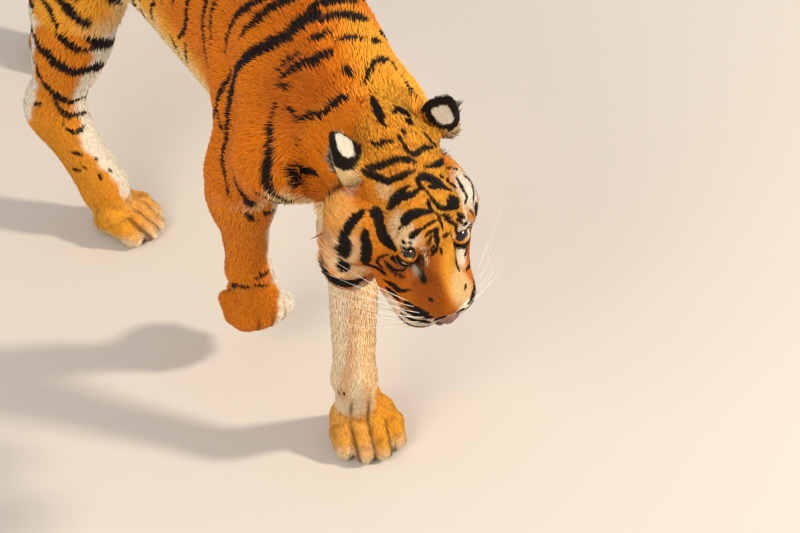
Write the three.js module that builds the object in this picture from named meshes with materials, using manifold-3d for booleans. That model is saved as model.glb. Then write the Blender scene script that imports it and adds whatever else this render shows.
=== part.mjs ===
// A walking tiger, life size, as a still display model.
// Millimetres. +Z is up, the tiger faces -Y and its left side is +X.
// While it is being built the origin is the floor point under the withers.
import * as THREE from 'three';
import * as BufferGeometryUtils from 'three/addons/utils/BufferGeometryUtils.js';
import Module from 'manifold-3d';

const wasm = await Module();
wasm.setup();

// ---------------------------------------------------------------- driving dimensions

const GAP = 0.3; // between pieces that touch
const DEG = Math.PI / 180;

// Trunk: the spine runs back from the withers and bends to the tiger's right.
const CHEST_TURN = -8 * DEG; // heading of the chest against the model's axis
const RUMP_TURN = 21 * DEG; // heading of the rump
const BEND_START = 100; // distance behind the withers where the bend starts
const BEND_END = 850; // and where it ends

// Sections of the trunk: distance behind the withers, top, bottom, half width.
const TRUNK_SECTIONS = [
  { at: -220, top: 640, bottom: 560, half: 40 }, // point of the breast
  { at: -195, top: 700, bottom: 528, half: 74 },
  { at: -150, top: 765, bottom: 500, half: 96 },
  { at: -80, top: 822, bottom: 482, half: 112 },
  { at: 0, top: 850, bottom: 472, half: 126 }, // withers
  { at: 100, top: 846, bottom: 466, half: 144 },
  { at: 220, top: 822, bottom: 462, half: 152 }, // rib cage
  { at: 340, top: 808, bottom: 460, half: 152 },
  { at: 460, top: 806, bottom: 468, half: 146 }, // belly
  { at: 560, top: 815, bottom: 474, half: 136 }, // loin
  { at: 640, top: 824, bottom: 500, half: 128 },
  { at: 720, top: 824, bottom: 540, half: 124 }, // hips
  { at: 800, top: 804, bottom: 590, half: 110 },
  { at: 865, top: 770, bottom: 620, half: 84 },
  { at: 905, top: 730, bottom: 645, half: 46 }, // root of the tail
];

// Neck: middle line from the chest to the back of the head, with its radius.
const NECK_LINE = [
  { at: [-8, -20, 700], radius: 106 },
  { at: [-14, -150, 665], radius: 100 },
  { at: [-16, -230, 640], radius: 94 },
];

// Head: place of its middle, and the angles of its palate.
const HEAD_CENTRE = [-15.5, -253, 622];
const HEAD_SIZE = 1.02;
const HEAD_SOFTNESS = 22; // how softly its masses run together
const HEAD_TURN = 2.3 * DEG; // to the tiger's right
const HEAD_PITCH = 44 * DEG; // nose down
const HEAD_ROLL = 12.1 * DEG; // left side down

// Legs: joints from the top down to the floor.
const FORE_LEFT = {
  blade: [40, 14, 766],
  triceps: [78, 66, 640],
  shoulder: [68, -120, 612],
  elbow: [44, -66, 450],
  wrist: [-46, -196, 150],
  paw: [-24, -184],
};
const FORE_RIGHT = {
  blade: [-52, 14, 770],
  triceps: [-78, 66, 640],
  shoulder: [-114, -110, 610],
  elbow: [-113, 38, 468],
  wrist: [-88, 86, 218],
  paw: [-64, 86],
};
const HIND_LEFT = {
  hip: [62, 798, 660],
  knee: [80, 880, 442],
  hock: [62, 1100, 264],
  ankle: [54, 1086, 92],
  paw: [47, 1062],
};
const HIND_RIGHT = {
  hip: [-128, 735, 660],
  knee: [-96, 618, 478],
  hock: [-160, 650, 218],
  ankle: [-116, 570, 84],
  paw: [-100, 540],
};
// Degrees that each planted paw points to the tiger's right.
const PAW_HEADING = { fore_left: 16, hind_left: -12, hind_right: -35 };

// Tail: middle line from the rump to the tip.
const TAIL_LINE = [
  [-50, 820, 740],
  [-92, 920, 706],
  [-130, 1010, 600],
  [-158, 1080, 470],
  [-180, 1150, 350],
  [-192, 1235, 268],
  [-182, 1330, 240],
  [-156, 1415, 266],
];
const TAIL_ROOT_RADIUS = 43;
const TAIL_TIP_RADIUS = 26;

// ---------------------------------------------------------------- materials

const coat = (color) => new THREE.MeshStandardMaterial({ color, roughness: 0.85, metalness: 0 });
const ORANGE_COAT = coat(0xd8841c);
const WHITE_COAT = coat(0xf0e2c8);
const BLACK_COAT = coat(0x1c1612);
const NOSE_SKIN = new THREE.MeshStandardMaterial({ color: 0xb9776a, roughness: 0.45, metalness: 0 });
const EYE_GLASS = new THREE.MeshStandardMaterial({ color: 0x8fa9a6, roughness: 0.08, metalness: 0 });

// ---------------------------------------------------------------- solid fields
// A field gives the distance of a point outside a body, and less than 0 inside it.

const vec = (p) => new THREE.Vector3(...p);

function limb(a, radiusA, b, radiusB) {
  const start = vec(a);
  const axis = vec(b).sub(start);
  const length = axis.length();
  axis.normalize();
  const slope = (radiusA - radiusB) / length;
  const flat = Math.sqrt(1 - slope * slope);
  const offset = new THREE.Vector3();
  return (p) => {
    offset.subVectors(p, start);
    const along = offset.dot(axis);
    const out = Math.sqrt(Math.max(offset.lengthSq() - along * along, 0));
    const shifted = along + (out * slope) / flat;
    if (shifted <= 0) return Math.hypot(along, out) - radiusA;
    if (shifted >= length) return Math.hypot(along - length, out) - radiusB;
    return out * flat + along * slope - radiusA;
  };
}

function ball(centre, radii, turn = new THREE.Matrix4()) {
  const back = turn.clone().invert();
  const q = new THREE.Vector3();
  return (p) => {
    q.set(p.x - centre[0], p.y - centre[1], p.z - centre[2]).applyMatrix4(back);
    const near = Math.hypot(q.x / radii[0], q.y / radii[1], q.z / radii[2]);
    const steep = Math.hypot(q.x / radii[0] ** 2, q.y / radii[1] ** 2, q.z / radii[2] ** 2);
    return steep < 1e-9 ? -Math.min(...radii) : (near * (near - 1)) / steep;
  };
}

function blend(softness, fields) {
  return (p) => {
    let d = fields[0](p);
    for (let i = 1; i < fields.length; i += 1) {
      const other = fields[i](p);
      const near = Math.max(softness - Math.abs(d - other), 0) / softness;
      d = Math.min(d, other) - (near * near * softness) / 4;
    }
    return d;
  };
}

// ---------------------------------------------------------------- meshes from fields

function meshOf(points, faces) {
  const geometry = new THREE.BufferGeometry();
  const numbers = points.flatMap((p) => p.toArray());
  geometry.setAttribute('position', new THREE.Float32BufferAttribute(numbers, 3));
  geometry.setIndex(faces);
  const [a, b, c] = [0, 1, 2].map(() => new THREE.Vector3());
  let volume = 0;
  for (let i = 0; i < faces.length; i += 3) {
    a.copy(points[faces[i]]);
    b.copy(points[faces[i + 1]]);
    c.copy(points[faces[i + 2]]);
    volume += a.dot(b.cross(c));
  }
  if (volume < 0) geometry.index.array.reverse(); // faces point outwards
  return geometry;
}

// A closed skin over rings of points, with a fan at each end.
function ringMesh(rings) {
  const sides = rings[0].length;
  const points = rings.flat();
  const faces = [];
  const last = points.length - sides;
  const middle = (ring) => ring.reduce((sum, p) => sum.add(p), new THREE.Vector3()).divideScalar(sides);
  const start = points.push(middle(rings[0])) - 1;
  const end = points.push(middle(rings[rings.length - 1])) - 1;
  for (let j = 0; j < sides; j += 1) {
    const k = (j + 1) % sides;
    faces.push(start, k, j);
    faces.push(end, last + j, last + k);
    for (let i = 0; i < last; i += sides) {
      faces.push(i + j, i + k, i + sides + j);
      faces.push(i + k, i + sides + k, i + sides + j);
    }
  }
  return meshOf(points, faces);
}

// The surface of a field inside a box, as a net with one point in each cell that the
// surface crosses, moved onto the surface. The box's walls close what they cut.
function net(wholeField, low, high, cell) {
  const inner = [low.map((v) => v + cell * 1.3), high.map((v) => v - cell * 1.3)];
  const field = (p) => {
    const q = p.toArray();
    return Math.max(wholeField(p), ...q.map((v, i) => Math.max(inner[0][i] - v, v - inner[1][i])));
  };
  const size = high.map((h, i) => Math.ceil((h - low[i]) / cell) + 1);
  const at = (i, j, k) => i + size[0] * (j + size[1] * k);
  const value = new Float64Array(size[0] * size[1] * size[2]);
  const p = new THREE.Vector3();
  for (let k = 0; k < size[2]; k += 1) {
    for (let j = 0; j < size[1]; j += 1) {
      for (let i = 0; i < size[0]; i += 1) {
        value[at(i, j, k)] = field(p.set(low[0] + i * cell, low[1] + j * cell, low[2] + k * cell));
      }
    }
  }
  const corners = [0, 1, 2, 3, 4, 5, 6, 7].map((n) => [n & 1, (n >> 1) & 1, (n >> 2) & 1]);
  const pointIn = new Map();
  const points = [];
  const slope = new THREE.Vector3();
  const PROBE = 1;
  const settle = (q) => {
    for (let step = 0; step < 4; step += 1) {
      const here = field(q);
      ['x', 'y', 'z'].forEach((axis) => {
        const beside = q.clone();
        beside[axis] += PROBE;
        slope[axis] = (field(beside) - here) / PROBE;
      });
      const move = -here / Math.max(slope.lengthSq(), 0.2);
      q.addScaledVector(slope, THREE.MathUtils.clamp(move, -cell / 3, cell / 3));
    }
    return q;
  };
  for (let k = 0; k < size[2] - 1; k += 1) {
    for (let j = 0; j < size[1] - 1; j += 1) {
      for (let i = 0; i < size[0] - 1; i += 1) {
        const values = corners.map(([a, b, c]) => value[at(i + a, j + b, k + c)]);
        const middle = new THREE.Vector3();
        let crossings = 0;
        for (let n = 0; n < 8; n += 1) {
          for (let bit = 1; bit < 8; bit <<= 1) {
            const m = n | bit;
            if (m !== n && values[n] < 0 !== values[m] < 0) {
              const t = values[n] / (values[n] - values[m]);
              middle.add(vec(corners[n]).lerp(vec(corners[m]), t));
              crossings += 1;
            }
          }
        }
        if (crossings > 0) {
          middle.divideScalar(crossings).add(vec([i, j, k])).multiplyScalar(cell).add(vec(low));
          pointIn.set(at(i, j, k), points.push(settle(middle)) - 1);
        }
      }
    }
  }
  const faces = [];
  const step = [1, size[0], size[0] * size[1]];
  for (let k = 1; k < size[2] - 1; k += 1) {
    for (let j = 1; j < size[1] - 1; j += 1) {
      for (let i = 1; i < size[0] - 1; i += 1) {
        const here = at(i, j, k);
        for (let axis = 0; axis < 3; axis += 1) {
          const inside = value[here] < 0;
          if (inside !== value[here + step[axis]] < 0) {
            const u = step[(axis + 1) % 3];
            const v = step[(axis + 2) % 3];
            const around = [here - u - v, here - v, here, here - u].map((n) => pointIn.get(n));
            const [a, b, c, d] = inside ? around : around.reverse();
            const level = points[a].distanceTo(points[c]) < points[b].distanceTo(points[d]);
            if (level) faces.push(a, b, c, a, c, d);
            else faces.push(b, c, d, b, d, a);
          }
        }
      }
    }
  }
  return meshOf(points, faces);
}

// ---------------------------------------------------------------- joining and cutting

function solid(geometry) {
  const bare = new THREE.BufferGeometry();
  bare.setAttribute('position', geometry.attributes.position.clone());
  if (geometry.index) bare.setIndex(geometry.index.clone());
  const merged = BufferGeometryUtils.mergeVertices(bare, 1e-4);
  const mesh = new wasm.Mesh({
    numProp: 3,
    vertProperties: new Float32Array(merged.attributes.position.array),
    triVerts: new Uint32Array(merged.index.array),
  });
  return new wasm.Manifold(mesh);
}

function geometryOf(manifold) {
  const mesh = manifold.getMesh();
  const geometry = new THREE.BufferGeometry();
  geometry.setAttribute('position', new THREE.BufferAttribute(new Float32Array(mesh.vertProperties), 3));
  geometry.setIndex(new THREE.BufferAttribute(new Uint32Array(mesh.triVerts), 1));
  return geometry;
}

// A large block that fills the half space ahead of a plane.
function halfSpace(point, normal) {
  const SIZE = 3000;
  const block = new THREE.BoxGeometry(SIZE, SIZE, SIZE);
  block.translate(0, 0, SIZE / 2);
  const ahead = normal.clone().normalize();
  const turn = new THREE.Quaternion().setFromUnitVectors(new THREE.Vector3(0, 0, 1), ahead);
  block.applyQuaternion(turn);
  block.translate(point.x, point.y, point.z);
  return solid(block);
}

// ---------------------------------------------------------------- trunk

const CHEST_AHEAD = -TRUNK_SECTIONS[0].at;

// The spine's place on the floor plan and its heading, at a distance behind the withers.
const SPINE_STEP = 10;
const SPINE = (() => {
  const heading = (s) =>
    CHEST_TURN + (RUMP_TURN - CHEST_TURN) * THREE.MathUtils.smoothstep(s, BEND_START, BEND_END);
  const list = [];
  const start = -CHEST_AHEAD - 60;
  let x = -Math.sin(CHEST_TURN) * start;
  let y = Math.cos(CHEST_TURN) * start;
  for (let s = start; s < 1000; s += SPINE_STEP) {
    const turn = heading(s);
    list.push({ s, x, y, turn });
    x -= Math.sin(turn) * SPINE_STEP;
    y += Math.cos(turn) * SPINE_STEP;
  }
  return list;
})();

// Distance behind the withers and to the side of the spine, for a point of the plan.
function alongSpine(p) {
  let best = SPINE[0];
  let least = Infinity;
  SPINE.forEach((station) => {
    const away = (p.x - station.x) ** 2 + (p.y - station.y) ** 2;
    if (away < least) {
      least = away;
      best = station;
    }
  });
  const [dx, dy] = [p.x - best.x, p.y - best.y];
  const [sin, cos] = [Math.sin(best.turn), Math.cos(best.turn)];
  return { s: best.s - dx * sin + dy * cos, across: dx * cos + dy * sin };
}

function sectionAt(s) {
  const last = TRUNK_SECTIONS.length - 1;
  let i = 0;
  while (i < last - 1 && TRUNK_SECTIONS[i + 1].at < s) i += 1;
  const a = TRUNK_SECTIONS[i];
  const b = TRUNK_SECTIONS[i + 1];
  const before = TRUNK_SECTIONS[Math.max(i - 1, 0)];
  const after = TRUNK_SECTIONS[Math.min(i + 2, last)];
  const width = b.at - a.at;
  const t = (s - a.at) / width;
  const smooth = (key) => {
    const slopeA = ((b[key] - before[key]) / (b.at - before.at)) * width;
    const slopeB = ((after[key] - a[key]) / (after.at - a.at)) * width;
    const rise = b[key] - a[key];
    return a[key] + t * (slopeA + t * (3 * rise - 2 * slopeA - slopeB + t * (slopeA + slopeB - 2 * rise)));
  };
  return { top: smooth('top'), bottom: smooth('bottom'), half: smooth('half') };
}

const SECTION_POWER = 2.2; // 2 would be an ellipse

function trunkField(p) {
  const { s, across } = alongSpine(p);
  const first = TRUNK_SECTIONS[0].at;
  const last = TRUNK_SECTIONS[TRUNK_SECTIONS.length - 1].at;
  const held = THREE.MathUtils.clamp(s, first, last);
  const { top, bottom, half } = sectionAt(held);
  const middle = (top + bottom) / 2;
  const tall = (top - bottom) / 2;
  const rise = p.z - middle;
  const share = (Math.abs(across / half) ** SECTION_POWER + Math.abs(rise / tall) ** SECTION_POWER) **
    (1 / SECTION_POWER);
  const out = Math.hypot(across, rise);
  const inPlane = share < 1e-6 ? -Math.min(half, tall) : out - out / share;
  const past = Math.abs(s - held);
  return past > 0 ? Math.hypot(Math.max(inPlane, 0), past) : inPlane;
}

// ---------------------------------------------------------------- legs

const mix = (a, b, t) => a.map((value, i) => value + (b[i] - value) * t);
const shift = (a, b) => a.map((value, i) => value + b[i]);

function foreLegFields(leg) {
  const muscle = shift(mix(leg.elbow, leg.wrist, 0.25), [0, 6, 0]);
  return [
    limb(leg.blade, 50, leg.shoulder, 74),
    limb(leg.shoulder, 74, leg.elbow, 56), // upper arm
    limb(leg.triceps, 54, shift(leg.elbow, [0, 18, 6]), 48),
    limb(leg.elbow, 52, muscle, 51),
    limb(muscle, 51, leg.wrist, 38),
  ];
}

function hindLegFields(leg) {
  const seat = shift(leg.hip, [0, 72, -40]);
  const calf = shift(mix(leg.knee, leg.hock, 0.3), [0, 26, 0]);
  const heel = shift(leg.hock, [0, 26, 10]);
  return [
    limb(leg.hip, 96, leg.knee, 70), // thigh
    limb(seat, 66, calf, 58), // hamstrings
    limb(leg.knee, 64, mix(leg.knee, leg.hock, 0.5), 50),
    limb(calf, 54, heel, 26), // tendon of the heel
    limb(mix(leg.knee, leg.hock, 0.4), 48, leg.hock, 37),
    limb(leg.hock, 37, leg.ankle, 35),
    limb(heel, 27, leg.ankle, 30),
  ];
}

// ---------------------------------------------------------------- paws

const TOE_PITCH = 30; // between neighbouring toes
const TOE_REACH = [-46, -66, -66, -46]; // how far each toe runs ahead of the knuckles
const TOE_RADIUS = 20;

// A paw in its own frame: x to the left, y back, origin on the floor under the knuckles.
// Its wrist is given in the same frame.
function pawFields(wrist, size) {
  const toes = TOE_REACH.flatMap((reach, i) => {
    const x = (i - (TOE_REACH.length - 1) / 2) * TOE_PITCH;
    const bend = [x, reach * 0.42, 36];
    return [
      limb([x * 0.8, 12, 42], TOE_RADIUS + 3, bend, TOE_RADIUS + 3),
      limb(bend, TOE_RADIUS + 3, [x * 1.04, reach, TOE_RADIUS - 3], TOE_RADIUS),
    ];
  });
  const top = wrist.map((value) => value / size);
  return [
    blend(9, toes),
    limb(top, 37, [-14, 16, 42], 34),
    limb(top, 37, [14, 16, 42], 34),
    ball([0, 24, 18], [46, 38, 22]), // main pad
  ];
}

// Puts a field made in a frame of its own, at a given size, into the model's frame.
function placed(field, matrix, size) {
  const inverse = matrix.clone().invert();
  const q = new THREE.Vector3();
  return (p) => field(q.copy(p).applyMatrix4(inverse).divideScalar(size)) * size;
}

function frameAt(origin, pitch, heading, roll = 0) {
  const matrix = new THREE.Matrix4().makeRotationZ(-heading);
  matrix.multiply(new THREE.Matrix4().makeRotationX(pitch));
  matrix.multiply(new THREE.Matrix4().makeRotationY(roll));
  return matrix.setPosition(...origin);
}

function plantedPaw(name, joint, floor, size) {
  const matrix = frameAt([...floor, 0], 0, PAW_HEADING[name] * DEG);
  const local = vec(joint).applyMatrix4(matrix.clone().invert()).toArray();
  return placed(blend(22, pawFields(local, size)), matrix, size);
}

// The lifted paw hangs from its wrist with the toes tucked back.
function liftedPaw(leg, size) {
  const knuckles = [leg.paw[0], leg.paw[1], 106];
  const toes = TOE_REACH.flatMap((reach, i) => {
    const x = (i - (TOE_REACH.length - 1) / 2) * TOE_PITCH * 0.86;
    const root = shift(knuckles, [x, 0, 0]);
    const bend = shift(knuckles, [x, 20 - reach * 0.2, -8]);
    const tip = shift(knuckles, [x, 26 - reach * 0.75, 6]);
    return [limb(root, 24, bend, 23), limb(bend, 23, tip, 18)];
  });
  return blend(22, [
    blend(9, toes),
    limb(leg.wrist, 37, shift(knuckles, [-15, -2, 8]), 34),
    limb(leg.wrist, 37, shift(knuckles, [15, -2, 8]), 34),
    ball(shift(knuckles, [0, 38, 26]), [40, 26, 30]),
  ]);
}

const LEGS = {
  fore_left: {
    fields: foreLegFields(FORE_LEFT),
    paw: plantedPaw('fore_left', FORE_LEFT.wrist, FORE_LEFT.paw, 0.98),
  },
  fore_right: {
    fields: foreLegFields(FORE_RIGHT),
    paw: liftedPaw(FORE_RIGHT, 1),
  },
  hind_left: {
    fields: hindLegFields(HIND_LEFT),
    paw: plantedPaw('hind_left', HIND_LEFT.ankle, HIND_LEFT.paw, 0.9),
  },
  hind_right: {
    fields: hindLegFields(HIND_RIGHT),
    paw: plantedPaw('hind_right', HIND_RIGHT.ankle, HIND_RIGHT.paw, 0.9),
  },
};

// ---------------------------------------------------------------- head
// In the head's own frame: x to its left, y back from its middle, z up from the palate.

const both = (make) => [-1, 1].map(make);
const HEAD_FRAME = frameAt(HEAD_CENTRE, HEAD_PITCH, HEAD_TURN, HEAD_ROLL);
const headFields = [
  ball([0, 2, 60], [88, 92, 66]), // skull
  ball([0, -62, 66], [76, 90, 52]), // forehead
  limb([0, -234, 40], 23, [0, -140, 62], 34), // bridge of the nose
  limb([0, -205, 14], 47, [0, -120, 24], 66), // muzzle
  limb([0, -205, -30], 30, [0, -70, -46], 56), // lower jaw
  ball([0, -226, -30], [31, 33, 31]), // chin
  ...both((s) => limb([s * 57, -126, 84], 15, [s * 40, -92, 92], 24)), // brow
  ...both((s) => ball([s * 32, -218, 20], [43, 42, 38])), // whisker pad
  ...both((s) => ball([s * 90, -66, 22], [52, 72, 54])), // cheek
  ...both((s) => limb([s * 66, -144, 36], 27, [s * 84, -70, 42], 36)), // cheekbone
  ...both((s) => ball([s * 58, -168, 16], [27, 44, 34])), // below the eye
  ...both((s) => limb([s * 62, -78, -44], 54, [s * 75, -114, -58], 49)), // ruff
];
const headShape = placed(blend(HEAD_SOFTNESS, headFields), HEAD_FRAME, HEAD_SIZE);
const inHead = (p) => vec(p).multiplyScalar(HEAD_SIZE).applyMatrix4(HEAD_FRAME);

const EYE_RADIUS = 18; // also in the head's frame, as are the nose and the ears
const EYE_CENTRE = [53, -141, 65];
const NOSE = { centre: [0, -258, 30], radii: [24, 13, 16] };

const EARS = {
  ear_right: { inner: [-70, 32, 85], outer: [-100, -6, 66], tip: [-129, 77, 100] },
  ear_left: { inner: [64, 50, 88], outer: [120, 14, 72], tip: [85, 72, 145] },
};

// An ear is a leaf of soft section, cupped towards its opening.
function earMesh({ inner, outer, tip }) {
  const RINGS = 8;
  const SIDES = 10;
  const [a, b, top] = [inner, outer, tip].map(inHead);
  const base = a.clone().lerp(b, 0.5);
  const height = top.clone().sub(base);
  const across = b.clone().sub(a);
  const halfWidth = across.length() * 0.62;
  across.normalize();
  const opening = across.clone().cross(height).normalize();
  const headAxis = vec([0, 0, 1]).transformDirection(HEAD_FRAME);
  if (opening.dot(headAxis) > 0) opening.negate();
  const rings = Array.from({ length: RINGS }, (_, i) => {
    const up = -0.45 + (1.44 * i) / (RINGS - 1);
    const width = halfWidth * Math.sqrt(Math.max(1 - Math.max(up, 0) ** 2.4, 0.004));
    const thick = THREE.MathUtils.lerp(11, 4, Math.max(up, 0));
    return Array.from({ length: SIDES }, (_, j) => {
      const angle = (j / SIDES) * 2 * Math.PI;
      const sideways = Math.cos(angle) * width;
      const cup = 13 * (sideways / halfWidth) ** 2 - 8 * Math.max(up, 0) ** 2;
      return base
        .clone()
        .addScaledVector(height, up)
        .addScaledVector(across, sideways)
        .addScaledVector(opening, cup + Math.sin(angle) * thick);
    });
  });
  return ringMesh(rings);
}

// ---------------------------------------------------------------- tail

function tailMesh() {
  const RINGS = 21;
  const SIDES = 10;
  const curve = new THREE.CatmullRomCurve3(TAIL_LINE.map(vec), false, 'centripetal');
  const rings = Array.from({ length: RINGS }, (_, i) => {
    const t = i / (RINGS - 1);
    const along = curve.getTangentAt(t);
    const side = along.clone().cross(vec([0, 0, 1])).normalize();
    const up = side.clone().cross(along);
    const tipShare = Math.max((t - 0.94) / 0.06, 0); // rounds off the tip
    const radius =
      THREE.MathUtils.lerp(TAIL_ROOT_RADIUS, TAIL_TIP_RADIUS, t ** 0.7) * Math.sqrt(1 - 0.92 * tipShare ** 2);
    const centre = curve.getPointAt(t);
    return Array.from({ length: SIDES }, (_, j) => {
      const angle = (j / SIDES) * 2 * Math.PI;
      return centre
        .clone()
        .addScaledVector(side, Math.cos(angle) * radius)
        .addScaledVector(up, Math.sin(angle) * radius);
    });
  });
  return { mesh: ringMesh(rings), curve };
}

// ---------------------------------------------------------------- whole body

const BODY_SOFTNESS = 55; // how softly the masses of the body run together
const PAW_SOFTNESS = 18;
const BODY_CELL = 54; // cells of the nets
const HEAD_CELL = 24;
const LEG_CELL = 34;
const PAW_CELL = 22;
const KNEE_CUT = 395; // height of the cuts under the elbows and knees
const UNDER_TRUNK = 448; // below this height the legs stand alone
const LEG_ROOM = 155; // between a leg's joints and the walls of its net

const UP = new THREE.Vector3(0, 0, 1);
const DOWN = new THREE.Vector3(0, 0, -1);

// A region is all that lies ahead of several planes. It can be grown on every side.
function region(planes, grow = 0) {
  return planes
    .map(({ point, normal }) => halfSpace(vec(point).addScaledVector(normal, -grow), normal))
    .reduce((a, b) => a.intersect(b));
}

const level = (height, normal) => ({ point: [0, 0, height], normal });
const flipped = ({ point, normal }) => ({ point, normal: normal.clone().negate() });

function spinePlane(s, lean = 0) {
  const { x, y, turn } = SPINE[Math.round((s - SPINE[0].s) / SPINE_STEP)];
  return { point: [x, y, 0], normal: vec([-Math.sin(turn), Math.cos(turn), lean]).normalize() };
}

function sidePlane(s, side, out) {
  const { x, y, turn } = SPINE[Math.round((s - SPINE[0].s) / SPINE_STEP)];
  const normal = vec([Math.cos(turn) * side, Math.sin(turn) * side, 0]);
  return { point: [x + normal.x * out, y + normal.y * out, 0], normal };
}

// The same mesh with every point moved out.
function grownMesh(geometry, by) {
  const bare = geometry.clone();
  bare.computeVertexNormals();
  const { position, normal } = bare.attributes;
  const [p, n] = [new THREE.Vector3(), new THREE.Vector3()];
  for (let i = 0; i < position.count; i += 1) {
    p.fromBufferAttribute(position, i).addScaledVector(n.fromBufferAttribute(normal, i), by);
    position.setXYZ(i, p.x, p.y, p.z);
  }
  return bare;
}

const pieces = [];
function add(name, shape, material) {
  pieces.push({ name, shape, material });
}

// Splits a shape into named lengths at planes that stand across it, with gaps between.
function addLengths(names, shape, planes, material) {
  names.forEach((name, i) => {
    let length = shape;
    if (i > 0) length = length.intersect(region([planes[i - 1]], -GAP / 2));
    if (i < planes.length) length = length.intersect(region([flipped(planes[i])], -GAP / 2));
    add(name, length, material);
  });
}

// ---------------------------------------------------------------- head pieces

const HEAD_LOW = [-260, -560, 380]; // walls of the head's net
const HEAD_HIGH = [240, -100, 860];
const headNet = net(headShape, HEAD_LOW, HEAD_HIGH, HEAD_CELL);
const headGrown = solid(grownMesh(headNet, GAP));

const roundBlock = () => new THREE.SphereGeometry(1, 12, 8);

function eyeBall(side, radius) {
  const [x, y, z] = EYE_CENTRE;
  const centre = inHead([side * x, y, z]);
  return solid(roundBlock().scale(radius, radius, radius).translate(centre.x, centre.y, centre.z));
}

function noseBlock(grow) {
  const [a, b, c] = NOSE.radii.map((radius) => radius + grow);
  return solid(roundBlock().scale(a, b, c).translate(...NOSE.centre).applyMatrix4(HEAD_FRAME));
}

add('eye_right', eyeBall(-1, EYE_RADIUS), EYE_GLASS);
add('eye_left', eyeBall(1, EYE_RADIUS), EYE_GLASS);
add('nose', noseBlock(0), NOSE_SKIN);
const skull = solid(headNet)
  .subtract(eyeBall(-1, EYE_RADIUS + 2 * GAP))
  .subtract(eyeBall(1, EYE_RADIUS + 2 * GAP))
  .subtract(noseBlock(2 * GAP));

const headPlane = (point, normal) => ({
  point: inHead(point).toArray(),
  normal: vec(normal).transformDirection(HEAD_FRAME),
});
const JAW = [headPlane([0, 0, -8], [0, 0, -1]), headPlane([0, -128, 0], [0, -1, 0])];
add('lower_jaw', skull.intersect(region(JAW)), WHITE_COAT);
add('head', skull.subtract(region(JAW, GAP)), ORANGE_COAT);
Object.entries(EARS).forEach(([name, ear]) => {
  add(name, solid(earMesh(ear)).subtract(headGrown), BLACK_COAT);
});

// ---------------------------------------------------------------- trunk pieces

const { mesh: tailNet, curve: tailCurve } = tailMesh();
const tailPlane = (t) => ({ point: tailCurve.getPointAt(t).toArray(), normal: tailCurve.getTangentAt(t) });
const TAIL_ROOT = tailPlane(0.09);
const tailGrown = solid(grownMesh(tailNet, GAP)).intersect(region([TAIL_ROOT], GAP));

const NECK_FIELDS = NECK_LINE.slice(1).map((end, i) => {
  const start = NECK_LINE[i];
  return limb(start.at, start.radius, end.at, end.radius);
});
const bodyField = blend(BODY_SOFTNESS, [
  trunkField,
  ...NECK_FIELDS,
  ...Object.values(LEGS).flatMap(({ fields }) => fields),
]);
const BODY_LOW = [-320, -440, KNEE_CUT - 160]; // walls of the body's net
const BODY_HIGH = [320, 1240, 960];
let trunk = solid(net(bodyField, BODY_LOW, BODY_HIGH, BODY_CELL))
  .intersect(region([level(KNEE_CUT, UP)]))
  .subtract(headGrown)
  .subtract(tailGrown);

// A haunch is what lies outside a plane beside the spine (out), and all of the leg under the
// trunk, from a plane that reaches over the middle.
const NECK_BASE = { ...spinePlane(-150, 0.45), point: [0, -150, 700] };
const SHOULDER_BACK = flipped(spinePlane(125));
const FORE = { at: 0, out: 88, over: 20 };
const HIND = { at: 740, out: 40, over: 0 };
const HAUNCHES = [
  { name: 'fore_left_shoulder', ends: [NECK_BASE, SHOULDER_BACK], side: 1, ...FORE },
  { name: 'fore_right_shoulder', ends: [NECK_BASE, SHOULDER_BACK], side: -1, ...FORE },
  { name: 'hind_left_thigh', ends: [spinePlane(690)], side: 1, ...HIND },
  { name: 'hind_right_thigh', ends: [spinePlane(540)], side: -1, ...HIND },
];
HAUNCHES.forEach(({ name, ends, side, at, out, over }) => {
  const outside = [...ends, sidePlane(at, side, out)];
  const under = [...ends, sidePlane(at, side, -over), level(UNDER_TRUNK, DOWN)];
  add(name, trunk.intersect(region(outside).add(region(under))), ORANGE_COAT);
  trunk = trunk.subtract(region(outside, GAP).add(region(under, GAP)));
});
addLengths(
  ['neck', 'chest', 'belly', 'rump'],
  trunk,
  [NECK_BASE, spinePlane(230), spinePlane(560)],
  ORANGE_COAT,
);

// ---------------------------------------------------------------- leg pieces

const cutBetween = (a, b, t) => ({ point: mix(a, b, t), normal: vec(b).sub(vec(a)).normalize() });
const wristPlane = ({ elbow, wrist }) => cutBetween(elbow, wrist, 0.93);
const hockPlane = ({ knee, hock }) => cutBetween(knee, hock, 0.86);
const anklePlane = ({ hock, ankle }) => cutBetween(hock, ankle, 0.8);

// The leg under the knee cut, in lengths, and its paw from a finer net.
function addLeg(name, lengths, planes, joints) {
  const { fields, paw } = LEGS[name];
  const field = blend(PAW_SOFTNESS, [blend(BODY_SOFTNESS, fields), paw]);
  const least = (axis) => Math.min(...joints.map((joint) => joint[axis]));
  const most = (axis) => Math.max(...joints.map((joint) => joint[axis]));
  const low = [least(0) - LEG_ROOM, least(1) - LEG_ROOM, -LEG_ROOM / 2];
  const high = [most(0) + LEG_ROOM, most(1) + LEG_ROOM, KNEE_CUT + LEG_ROOM];
  const pawHigh = [high[0], high[1], least(2) + LEG_ROOM / 2];
  const last = planes[planes.length - 1];
  const shin = solid(net(field, low, high, LEG_CELL))
    .intersect(region([level(KNEE_CUT - GAP, DOWN)]))
    .intersect(region([flipped(last)], -GAP / 2));
  addLengths(lengths, shin, planes.slice(0, -1), ORANGE_COAT);
  const foot = solid(net(field, low, pawHigh, PAW_CELL))
    .intersect(region([level(0, UP)]))
    .intersect(region([last], -GAP / 2));
  add(`${name}_paw`, foot, WHITE_COAT);
}

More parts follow.
